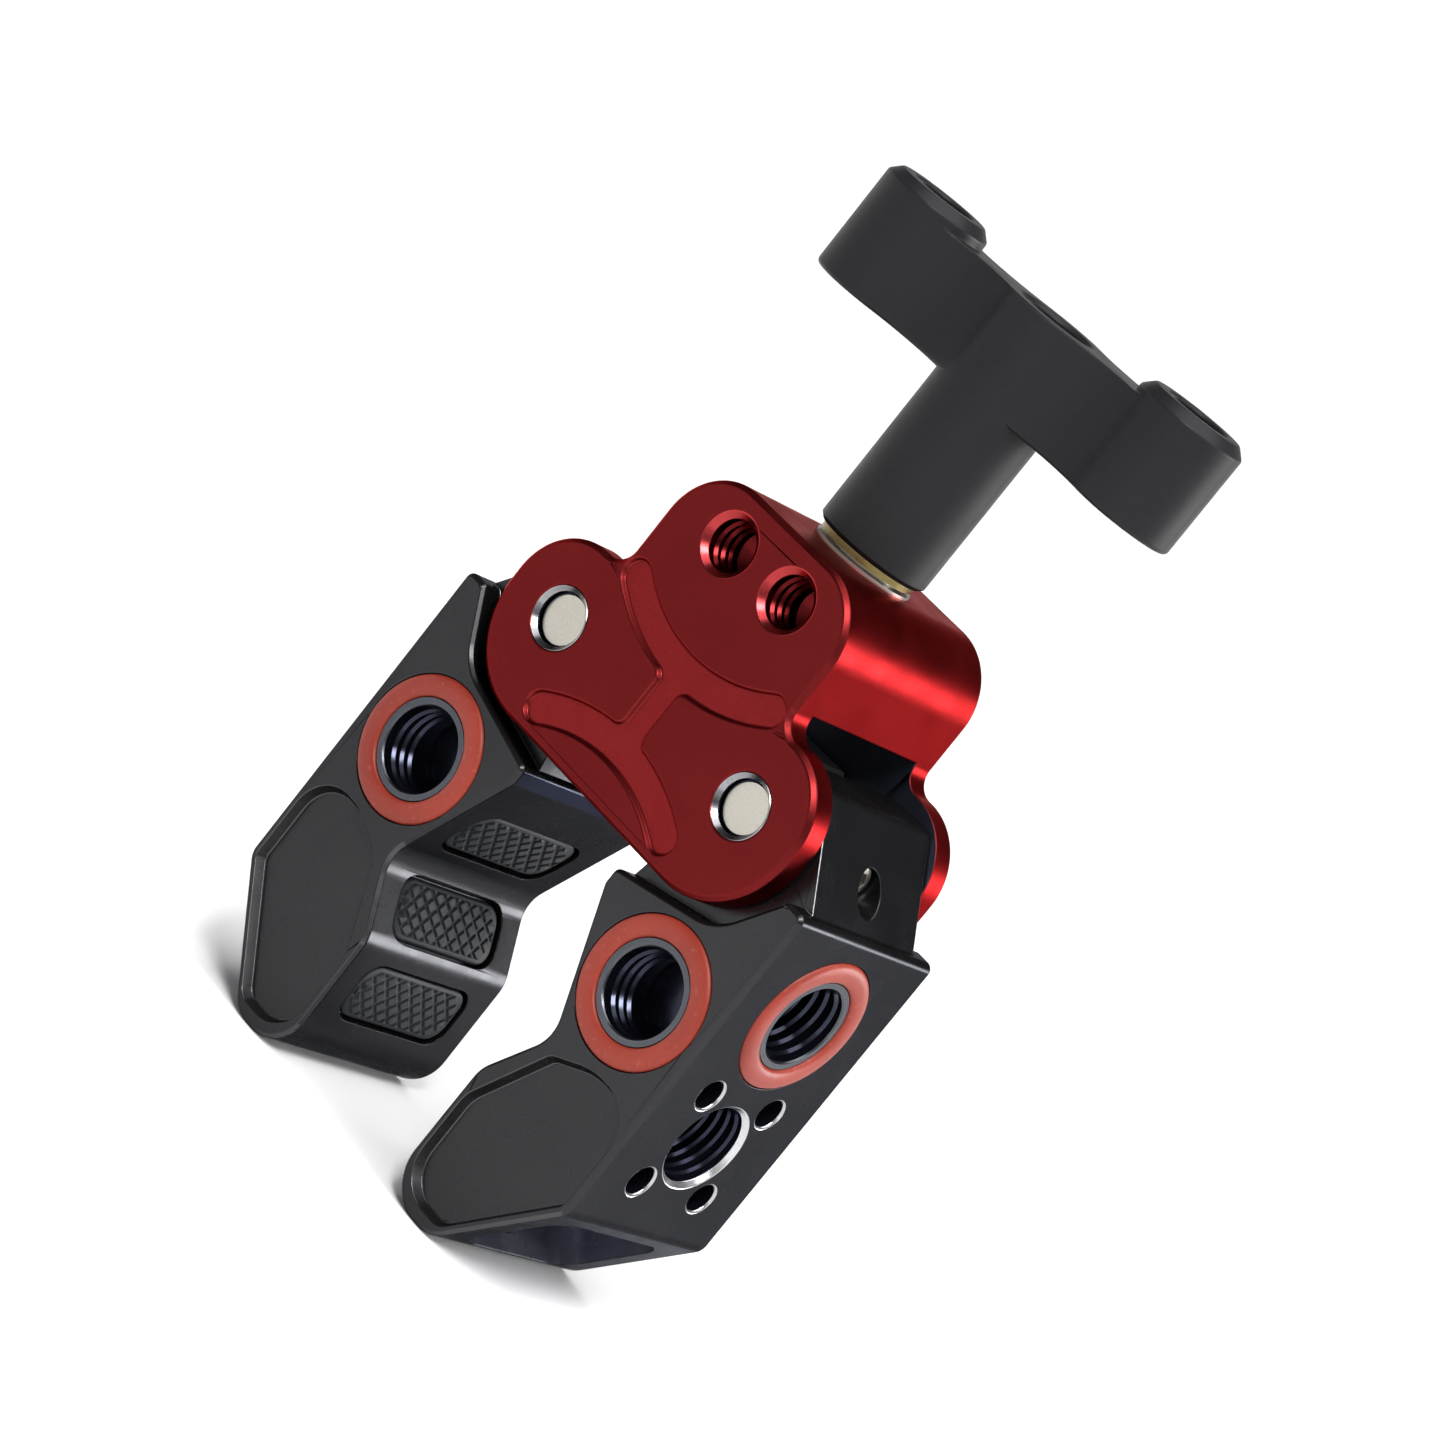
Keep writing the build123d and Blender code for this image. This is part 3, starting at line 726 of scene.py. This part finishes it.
def bushes():
    """Pressed bushes, each with a bright lip round a counterbore darkened with painted shade, and the pins in
    them.
    """
    profile = [(BUSH_R, 0.06), (3.24, 0.0), (2.80, 0.46), (2.78, 1.15), (2.66, 1.2), (2.66, 3.25),
               (BUSH_R, 3.25)]
    reach = BODY_HALF_Y - 1.0
    ends = [(2.54, -reach), (2.62, -reach + 0.08), (2.62, -reach + 1.9), (2.5, -reach + 2.0)]
    for hand, way in HANDS:
        x = way * PIN_X
        for face, side in FACES:
            ring = lathe(profile, (x, side * BODY_HALF_Y, 0), (0, -side, 0), 96, shut=True)
            even_normals(ring, 30)
            # Painted shade: a near-black tone in the counterbore behind the lip.
            tag(ring, "inside", lambda c, n: abs(c.y) < BODY_HALF_Y - 0.48)
            settle(ring, f"bush_{hand}_{face}", "body", BUSH, [f"hinge_bush_{hand}_{face}"])
        pin = lathe(ends + [(r, -y) for r, y in reversed(ends)], (x, 0, 0), (0, 1, 0), 72)
        even_normals(pin, 35)
        settle(pin, f"pin_{hand}", f"jaw_{hand}", STEEL, [f"hinge_pin_{hand}"])


# --- jaws -----------------------------------------------------------------------------------------
def cheek_outline():
    """Side view of the jaw below its tongue, from the outer shelf down round the toe and the notch."""
    return outline([
        (JAW_OUTER_X, -3.2, 0.9),
        (*END_CORNER, 2.0),
        (*END_TOE, 4.0),
        (JAW_TIP_X, JAW_BOTTOM_Z, 4.9),
        (*NOTCH_LOW, 4.0),
        (*NOTCH_DEEP, 4.0),
        (*NOTCH_HIGH, 1.0),
        (NOTCH_HIGH[0], -12.95, 0.8),
        (20.6, -10.05, 6.0),
        (25.2, -3.2, 0.6),
    ], 5.0)


def tongue_outline():
    """Hub round the pin, web down into the jaw and the sloped outer face."""
    root_z = -13.5
    hub = arc(PIN_X, 0, TONGUE_R, 90, 216.5, 5)
    slope = outline([(10, TONGUE_R, 0), (8.0, root_z, 0), (JAW_OUTER_X, root_z, 0),
                     (JAW_OUTER_X, -4.9, 0), (19.4, TONGUE_R, 1.0)], 8)
    return hub + slope[1:]


def gripping_faces():
    """Middle and outward direction of the three padded inner faces, by name."""
    hx, hz = NOTCH_HIGH
    dx, dz = NOTCH_DEEP
    lx, lz = NOTCH_LOW
    upper, middle = hypot(hx - dx, hz - dz), hypot(dx - lx, dz - lz)
    ux, uz = (hx - dx) / upper, (hz - dz) / upper
    mx, mz = (dx - lx) / middle, (dz - lz) / middle
    up, across = 6.65, 4.15
    return {
        "upper": ((dx + ux * up, 0, dz + uz * up), (-uz, 0, ux)),
        "middle": ((lx + mx * across, 0, lz + mz * across), (-mz, 0, mx)),
        "lower": ((JAW_TIP_X, 0, -42.0), (-1, 0, 0)),
    }


def plate(length, width, corner, turn=15):
    """Rounded rectangle about the origin."""
    a, b = length / 2, width / 2
    return outline([(a, b, corner), (-a, b, corner), (-a, -b, corner), (a, -b, corner)], turn)


def on_face(ob, spot, outward, hand=1):
    """Moves a piece drawn with its length on X and its height on Z onto a gripping face."""
    z = Vector(outward).normalized()
    x = Vector((0, 1, 0))
    y = z.cross(x)
    m = Matrix((x, y, z)).transposed().to_4x4()
    m.translation = Vector(spot)
    ob.data.transform(m)
    if hand < 0:
        ob.data.transform(Matrix.Scale(-1, 4, (1, 0, 0)))
        ob.data.flip_normals()
    return ob


def seats():
    """Mouth, direction into the jaw and insert length of the three accessory sockets, by name."""
    sx, _, sz = MOUNT["socket_front_right"]
    oz = MOUNT["socket_outer_right"][2] - LIFT
    sz -= LIFT
    return {
        "front": ((sx, -JAW_HALF_Y, sz), (0, 1, 0), 6.2),
        "rear": ((sx, JAW_HALF_Y, sz), (0, -1, 0), 6.2),
        "outer": ((JAW_OUTER_X, 0, oz), (-1, 0, 0), 6.8),
    }


def end_face():
    """Middle of the pocket in the slanted end face, the way down that face and the way out of it."""
    ex, ez = END_CORNER
    tx, tz = END_TOE
    run = hypot(tx - ex, tz - ez)
    sx, sz = (tx - ex) / run, (tz - ez) / run
    down = 8.5
    return (ex + sx * down, 0, ez + sz * down), (sx, 0, sz), (-sz, 0, sx)


def jaw_blank():
    """Cheek, tongue and the arm whose nose rides in the nut, melted into one."""
    part = prism(cheek_outline(), -JAW_HALF_Y, JAW_HALF_Y, 0.4)
    nose_x = PIN_X - ARM * cos(radians(ARM_ANGLE))
    nose_z = ARM * sin(radians(ARM_ANGLE))
    neck = outline([(PIN_X, -ARM_HALF_Z, 0), (PIN_X, ARM_HALF_Z, 0), (nose_x, nose_z + ARM_HALF_Z, 0),
                    (nose_x, nose_z - ARM_HALF_Z, 0)])
    nose = arc(nose_x, nose_z, NOSE_R, 0, 352, 8)
    return combine(part, [
        prism(tongue_outline(), -TONGUE_HALF_Y, TONGUE_HALF_Y),
        prism(neck, -ARM_HALF_Y, ARM_HALF_Y),
        prism(nose, -ARM_HALF_Y, ARM_HALF_Y),
    ], "UNION")


def jaw_cuts():
    """Sockets, tapped and locating holes, pin bores, pad wells, end pocket and cheek panels."""
    cuts = []
    for spot, into, depth in seats().values():
        cuts.append(lathe([(RING_R + 0.05, -1), (RING_R + 0.05, RING_GROOVE), (INSERT_R, RING_GROOVE),
                           (INSERT_R, depth)], spot, into, 96))
    inward = (-1, 0, 0)
    plate_hole = [(PLATE_MOUTH_R, -1), (PLATE_MOUTH_R, 0), (PLATE.wall, PLATE_MOUTH_DEPTH),
                  (PLATE.wall, PLATE_DEPTH), (0.3, PLATE_DEPTH + 2.2)]
    cuts.append(lathe(plate_hole, (JAW_OUTER_X, 0, PLATE_HOLE_Z), inward, 96))
    locating = [(1.83, -1), (1.83, 0), (1.63, 0.20), (LOCATING_R, LOCATING_DEPTH),
                (0.1, LOCATING_DEPTH + 0.8)]
    for y in (-LOCATING_Y, LOCATING_Y):
        for z in (-LOCATING_Z, LOCATING_Z):
            cuts.append(lathe(locating, (JAW_OUTER_X, y, PLATE_HOLE_Z + z), inward, 40))
    cuts.append(lathe([(2.0, 1.5), (2.0, 14)], (PIN_X, 0, 0), (1, 0, 0), 40))
    cuts.append(lathe([(PIN_BORE_R, -20), (PIN_BORE_R, 20)], (PIN_X, 0, 0), (0, 1, 0), 48))
    for spot, outward in gripping_faces().values():
        cuts.append(on_face(stack_z(plate(17.5, 7.0, 2.4), [(PAD_BED_Z, 0), (1, 0)]), spot, outward))
    middle, _, out = end_face()
    hollow = stack_z(plate(END_POCKET_Y, END_POCKET_RUN, 3.0, 9), [(-END_POCKET_DEPTH, 0), (1, 0)])
    cuts.append(on_face(hollow, middle, out))
    panel = outline([(15.3, -30.2, 2.0), (20.1, -28.0, 8.0), (27.0, -28.0, 4.6), (27.0, -39.2, 1.6),
                     (17.6, -50.1, 2.4), (10.5, -50.1, 4.4), (10.5, -39.2, 4.0)], 6)
    cuts += [pocket(panel, side, side * JAW_HALF_Y, PANEL_DEPTH, PANEL_LEAN) for side in (-1, 1)]
    return cuts


def tag_jaw(part):
    """Marks cut rims in a bare-metal tone that is partly a painted highlight, painted shade in the bores, and
    painted light inside the end pocket.
    """
    face, down, out = end_face()

    def off_locating(c):
        return hypot(abs(c.y) - LOCATING_Y, abs(c.z - PLATE_HOLE_Z) - LOCATING_Z)

    def bare_metal_and_highlight(c, n):
        """Mouths of the tapped and locating holes in a bare-metal tone that is partly a painted highlight, and
        painted highlights on the tongue's long edges and, a little, on the panels' walls.
        """
        y, x = abs(c.y), c.x
        if x > JAW_OUTER_X - 0.52 and abs(n.x) < 0.985 and c.z < -20 and y < 8:
            rim = off_locating(c) < 1.93 and x > JAW_OUTER_X - 0.24
            return hypot(c.y, c.z - PLATE_HOLE_Z) < PLATE_MOUTH_R + 0.07 or 0.8 * rim
        leaning = 0.2 < abs(n.y) < 0.95
        if abs(y - TONGUE_HALF_Y) < 0.16 and x > 20 and c.z > -12.5 and leaning:
            return 0.7
        wall = JAW_HALF_Y - PANEL_DEPTH + 0.02 < y < JAW_HALF_Y - 0.03 and leaning
        return 0.07 * (wall and c.z < -27 and 10 < x < 27.3)

    def bore(c, n):
        """Painted shade on the jaw's inner step above the notch and on the insides of the outer face's holes."""
        if c.x < NOTCH_HIGH[0] + 0.02 and NOTCH_HIGH[1] < c.z < -12.5:
            return 1
        if JAW_OUTER_X - 12 < c.x < JAW_OUTER_X - 0.24 and off_locating(c) < 1.8:
            return 1
        deep = JAW_OUTER_X - 12 < c.x < JAW_OUTER_X - 0.52
        return deep and hypot(c.y, c.z - PLATE_HOLE_Z) < PLATE.wall + 0.08

    # Painted light: a paler bluish tone over the end pocket's walls.
    def cavity(c, n):
        away = c - Vector(face)
        along, rise = away.dot(Vector(down)), away.dot(Vector(out))
        within = abs(along) < END_POCKET_RUN / 2 + 0.02 and abs(c.y) < END_POCKET_Y / 2 + 0.05
        return within and -END_POCKET_DEPTH - 0.1 < rise < -0.12

    for name, test in (("bare_metal_and_highlight", bare_metal_and_highlight), ("bore", bore), ("pocket", cavity)):
        tag(part, name, test)


def jaw_shell():
    part = combine(jaw_blank(), jaw_cuts())
    round_edges(part, 0.11, 3)
    tag_jaw(part)
    return part


def mirrored(ob):
    twin = bpy.data.objects.new("twin", ob.data.copy())
    bpy.context.scene.collection.objects.link(twin)
    twin.data.transform(Matrix.Scale(-1, 4, (1, 0, 0)))
    twin.data.flip_normals()
    return twin


def clip(poly, fence):
    """Convex polygon cut to a convex anticlockwise fence."""
    n = len(fence)
    for i in range(n):
        ax, ay = fence[i]
        bx, by = fence[(i + 1) % n]
        kept = []
        for k in range(len(poly)):
            p, q = poly[k - 1], poly[k]
            dp = (bx - ax) * (p[1] - ay) - (by - ay) * (p[0] - ax)
            dq = (bx - ax) * (q[1] - ay) - (by - ay) * (q[0] - ax)
            if (dp >= 0) != (dq >= 0):
                t = dp / (dp - dq)
                kept.append((p[0] + (q[0] - p[0]) * t, p[1] + (q[1] - p[1]) * t))
            if dq >= 0:
                kept.append(q)
        poly = kept
        if len(poly) < 3:
            return []
    return poly


def shrink(poly, d):
    """Convex polygon pulled towards its middle by about d."""
    cx = sum(p[0] for p in poly) / len(poly)
    cy = sum(p[1] for p in poly) / len(poly)
    moved = []
    for x, y in poly:
        reach = hypot(x - cx, y - cy)
        k = max(0.25, 1 - d * 1.4 / reach) if reach > 1e-6 else 1
        moved.append((cx + (x - cx) * k, cy + (y - cy) * k))
    return moved


def studs(fence):
    """Raised diamonds in staggered rows, kept inside a fence."""
    pitch_x, pitch_y = 2.05, 2.0
    gap, slope, height = 0.10, 0.17, 0.20
    smallest = 0.2
    bm = bmesh.new()
    for row in range(-4, 5):
        for col in range(-6, 7):
            cx = (col + (row % 2) / 2) * pitch_x
            cy = row * pitch_y / 2
            diamond = [(cx + pitch_x / 2, cy), (cx, cy + pitch_y / 2), (cx - pitch_x / 2, cy),
                       (cx, cy - pitch_y / 2)]
            cell = clip(shrink(diamond, gap), fence)
            if len(cell) < 3 or area(cell) < smallest:
                continue
            levels = [(cell, PAD_TOP_Z - 0.05), (cell, PAD_TOP_Z + 0.01),
                      (shrink(cell, slope), PAD_TOP_Z + height)]
            rows = [[bm.verts.new((x, y, z)) for x, y in ring] for ring, z in levels]
            for a, b in zip(rows, rows[1:]):
                band(bm, a, b)
            bm.faces.new(rows[0][::-1])
            bm.faces.new(rows[-1])
    return round_edges(make("studs", bm), 0.035, 1, 25)


def pad(spot, outward, hand):
    """Rubber pad with rounded shoulders and a field of raised diamonds."""
    shape = plate(16.9, 6.4, 2.1)
    top = PAD_TOP_Z
    base = stack_z(shape, [(PAD_BED_Z, 0), (top - 0.35, 0), (top - 0.16, 0.07), (top - 0.04, 0.2),
                           (top, 0.4)])
    fence = inset(shape, 0.55)
    gather(base, [studs(fence if area(fence) > 0 else fence[::-1])])
    even_normals(base, 50)
    return on_face(base, spot, outward, hand)


def sleeve(spot, into, depth):
    """Insert with a broad flat rim and a threaded bore."""
    wall = SOCKET.wall
    profile = [(wall, 0.16), (4.56, 0.04), (4.62, 0.0), (INSERT_R - 0.10, 0.0), (INSERT_R, 0.10),
               (INSERT_R, depth), (wall, depth)]
    tube = lathe(profile, spot, into, 96, shut=True)
    ridge = coil(SOCKET, depth, spot, into, 0.2)
    plug = lathe([(wall + 0.05, depth - 0.1), (wall + 0.05, depth)], spot, into, 96)
    gather(tube, [ridge, plug])
    even_normals(tube, 28)
    mouth, way = Vector(spot), Vector(into)

    # Painted shade inside the threaded bore.
    def inner(c, n):
        away = c - mouth
        h = away.dot(way)
        return h > 0.14 and (away - way * h).length < wall + 0.06

    return tag(tube, "bore", inner)


def collar(spot, into):
    """Soft ring bedded in its groove."""
    inner_r = INSERT_R + 0.02
    profile = [(inner_r, RING_GROOVE), (inner_r, 0.10), (5.38, -0.10), (5.52, -0.25), (5.78, -0.37),
               (6.12, -0.43), (6.5, -0.45), (6.85, -0.42), (7.15, -0.34), (7.38, -0.20), (7.52, -0.02),
               (RING_R, 0.2), (RING_R, RING_GROOVE)]
    ring = lathe(profile, spot, into, 128, shut=True)
    return even_normals(ring, 60)


def set_screw(hand):
    """Headless screw with a hex socket, standing on the hinge pin."""
    r, length, edge = 1.9, 4.7, 0.3
    grub = lathe([(r, 0), (r, length - edge), (r - edge, length)], seg=48)
    combine(grub, [hex_key(1.2, length - 2, length + 1)])
    round_edges(grub, 0.05, 2)
    even_normals(grub, 32)
    grub.data.transform(frame_at(((PIN_X + PIN_BORE_R) * hand, 0, 0), (hand, 0, 0)))
    return grub


def jaw(side, hand, shell):
    body = f"jaw_{side}"
    even_normals(shell)
    settle(shell, f"jaw_shell_{side}", body, BLACK, [f"jaw_{side}"])
    for where, (spot, outward) in gripping_faces().items():
        settle(pad(spot, outward, hand), f"pad_tread_{where}_{side}", body, RUBBER,
               [f"pad_{where}_{side}"])
    for where, (spot, into, depth) in seats().items():
        here = (spot[0] * hand, spot[1], spot[2])
        way = (into[0] * hand, into[1], into[2])
        settle(sleeve(here, way, depth), f"sleeve_{where}_{side}", body, INSERT,
               [f"insert_{where}_{side}"])
        settle(collar(here, way), f"collar_{where}_{side}", body, SILICONE,
               [f"ring_{where}_{side}"])
    settle(set_screw(hand), f"set_screw_{side}", body, STEEL, [f"pin_set_screw_{side}"])
    ridge = coil(PLATE, PLATE_DEPTH, (JAW_OUTER_X * hand, 0, PLATE_HOLE_Z), (-hand, 0, 0), 0.55)
    settle(thread_look(ridge), f"plate_thread_{side}", body, BLACK)


def jaws():
    shell = jaw_shell()
    twin = mirrored(shell)
    jaw("right", 1, shell)
    jaw("left", -1, twin)


# --- handle and screw -----------------------------------------------------------------------------
def bar_outline():
    """Quarter of the bar from above as far as its boss, then the boss outside the bar and inside it."""
    lift = WEB + BLEND
    hub_x = sqrt((STEM_R + BLEND) ** 2 - lift ** 2)
    end_x = BOSS_X - sqrt((BOSS_R + BLEND) ** 2 - lift ** 2)
    lean = degrees(atan2(lift, hub_x))
    reach = degrees(atan2(lift, end_x - BOSS_X))
    waist = arc(0, 0, STEM_R, 90, lean, 4)[:-1]
    waist += arc(hub_x, lift, BLEND, lean + 180, 270, 4)
    waist += arc(end_x, lift, BLEND, 270, 360 + reach - 180, 4)[:-1]
    outer = arc(BOSS_X, 0, BOSS_R, reach, -reach, 4)
    inner = arc(BOSS_X, 0, BOSS_R, reach, 360 - reach, 4)[1:-1]
    return thin(waist), outer, inner


def raise_boss(bm, ring, hand):
    """Carries a boss's rim up over its broken edge and closes its top."""
    unit = [((v.co.x - hand * BOSS_X) / BOSS_R, v.co.y / BOSS_R) for v in ring]
    for r, z in BOSS_SHOULDER:
        higher = [bm.verts.new((hand * BOSS_X + u * r, v * r, z)) for u, v in unit]
        band(bm, ring, higher)
        ring = higher
    bm.faces.new(ring)


def bar():
    """The bar with its rounded underside, its flat top and the two raised end bosses."""
    upper, outer, inner = bar_outline()
    right = upper + outer + [(x, -y) for x, y in reversed(upper[1:])]
    whole = right + [(-x, -y) for x, y in right]
    edge = 0.5
    bm = bmesh.new()
    levels = []
    for a in range(0, 91, 15):
        z = BAR_LO + edge * (1 - cos(radians(a)))
        levels.append([bm.verts.new((x, y, z)) for x, y in inset(whole, edge * (1 - sin(radians(a))))])
    levels.append([bm.verts.new((x, y, BAR_HI)) for x, y in whole])
    for a, b in zip(levels, levels[1:]):
        band(bm, a, b)
    bm.faces.new(levels[0][::-1])
    count, first, last = len(right), len(upper), len(upper) + len(outer)
    ledge = []
    for hand, start in ((1, 0), (-1, count)):
        half = levels[-1][start:start + count]
        rim = half[first:last]
        back = [bm.verts.new((hand * x, hand * y, BAR_HI)) for x, y in inner]
        ledge += half[:first] + [rim[0]] + back + [rim[-1]] + half[last:]
        raise_boss(bm, rim + back[::-1], hand)
    bm.faces.new(ledge)
    return make("bar", bm)


def handle():
    part = bar()
    cuts = [lathe([(4.45, 53.0), (4.45, BAR_HI), (4.05, BAR_HI - 0.4), (4.05, 43.0)], seg=72)]
    for x in (-BOSS_X, BOSS_X):
        cuts.append(lathe([(3.62, 55.0), (3.62, BOSS_TOP_Z), (BOSS_HOLE_R, 53.88), (BOSS_HOLE_R, 47.1),
                           (0.2, 45.6)], (x, 0, 0), seg=72))
    combine(part, cuts)
    round_edges(part, 0.14, 3, 32)
    foot = STEM_BOTTOM_Z
    stem = lathe([(4.3, foot), (STEM_R - 0.5, foot), (STEM_R - 0.42, foot + 0.02),
                  (STEM_R - 0.04, foot + 0.4), (STEM_R, foot + 0.52), (STEM_R + 0.01, BAR_HI - 0.2),
                  (4.6, BAR_HI - 0.5), (4.3, BAR_HI - 1)], seg=120, shut=True)
    gather(part, [stem])
    even_normals(part)
    part.data.transform(Matrix.Rotation(radians(BAR_ANGLE), 4, "Z"))
    settle(part, "handle_grip", "handle", GRIP, ["t_handle"])


def screw():
    thread_top, plain_r = 8.8, SPINDLE.crest
    foot, head = SCREW_LO.z, SCREW_HI.z
    core = lathe([(3.0, foot), (SPINDLE.wall, foot + 0.5), (SPINDLE.wall, thread_top),
                  (plain_r, thread_top + 0.3), (plain_r, head - 0.6), (3.4, head)], seg=72)
    combine(core, [hex_key(2.887, head - 4, head + 1)])
    round_edges(core, 0.08, 2)
    gather(core, [coil(SPINDLE, thread_top + 0.1 - foot, (0, 0, foot), (0, 0, 1))])
    even_normals(core, 32)
    settle(core, "screw_threaded", "handle", STEEL, ["clamp_screw"])


clevis()
bushes()
jaws()
handle()
screw()

for node, finish in (("thrust_washer", STEEL), ("brass_washer", BRASS), ("retaining_ring", DARK_STEEL),
                     ("crosshead_nut", NUT_STEEL), ("spindle_bush", DARK_STEEL)):
    frame["nodes"][node].data.materials.clear()
    frame["nodes"][node].data.materials.append(finish)


# --- studio ---------------------------------------------------------------------------------------
def floor():
    """Plain pale floor, level with the clamp's lowest point."""
    reach, z = 60, CAD_BOX[0].z
    corners = ((-reach, -reach), (reach, -reach), (reach, reach), (-reach, reach))
    bm = bmesh.new()
    bm.faces.new([bm.verts.new((x, y, z)) for x, y in corners])
    ob = make("floor", bm)
    r = Recipe("floor_paint")
    cloud = r.noise(3, 2.0)
    r.link(r.mix(cloud, (0.90, 0.90, 0.90), (0.92, 0.92, 0.92)), r.shader.inputs["Base Color"])
    r.set(Roughness=0.9, Specular_IOR_Level=0.1)
    ob.data.materials.append(r.mat)


def soft_light(name, at, size, power):
    """Softbox out of the camera's sight, turned to the clamp's middle."""
    data = bpy.data.lights.new(name, "AREA")
    data.shape = "RECTANGLE"
    data.size, data.size_y = size
    data.energy = power
    ob = bpy.data.objects.new(name, data)
    ob.location = at
    ob.visible_camera = False
    ob.rotation_euler = (Vector((0, 0, 0.03)) - Vector(at)).to_track_quat("-Z", "Y").to_euler()
    bpy.context.scene.collection.objects.link(ob)


def studio_world():
    """Pale all round near the horizon and dim overhead, so that dark finishes keep their depth, with
    one bright patch low on the far side for the side faces to reflect."""
    world = bpy.data.worlds.new("studio")
    bpy.context.scene.world = world
    world.use_nodes = True
    t = Tree(world.node_tree)
    place = t.add("ShaderNodeTexCoord").outputs["Generated"]
    split = t.add("ShaderNodeSeparateXYZ")
    t.link(place, split.inputs[0])
    fall = t.span(split.outputs["Z"], 0.12, 0.48, 1.0, 0.10)
    toward = t.add("ShaderNodeVectorMath", operation="DOT_PRODUCT")
    toward.inputs[1].default_value = Vector((0.60, 0.79, 0.11)).normalized()
    t.link(place, toward.inputs[0])
    glow = t.span(toward.outputs["Value"], 0.966, 0.996, 0.0, 24.0, interpolation_type="SMOOTHSTEP")
    both = t.add("ShaderNodeMath", operation="ADD")
    t.link(fall, both.inputs[0])
    t.link(glow, both.inputs[1])
    back = t.tree.nodes["Background"]
    back.inputs["Color"].default_value = (1, 1, 1, 1)
    t.link(both.outputs[0], back.inputs["Strength"])


def sun(power, lean, softness):
    data = bpy.data.lights.new("overhead", "SUN")
    data.energy = power
    data.angle = radians(softness)
    ob = bpy.data.objects.new("overhead", data)
    ob.rotation_euler = [radians(a) for a in lean]
    bpy.context.scene.collection.objects.link(ob)


floor()
studio_world()
sun(3.0, (0, 10, 0), 60)
soft_light("key", (0.45, -0.05, 0.42), (0.22, 0.35), 0.9)
soft_light("front", (0.28, -0.43, 0.58), (0.13, 0.36), 4.6)
bpy.context.scene.view_settings.view_transform = "Standard"

eye = bpy.data.cameras.new("camera")
eye.lens = 124.644
eye.sensor_width = 36.0
eye.clip_start = 0.01
camera = bpy.data.objects.new("camera", eye)
camera.location = (0.266375, -0.395040, 0.119988)
camera.rotation_euler = (radians(76.49351), radians(-37.82970), radians(42.49051))
bpy.context.scene.collection.objects.link(camera)
bpy.context.scene.camera = camera
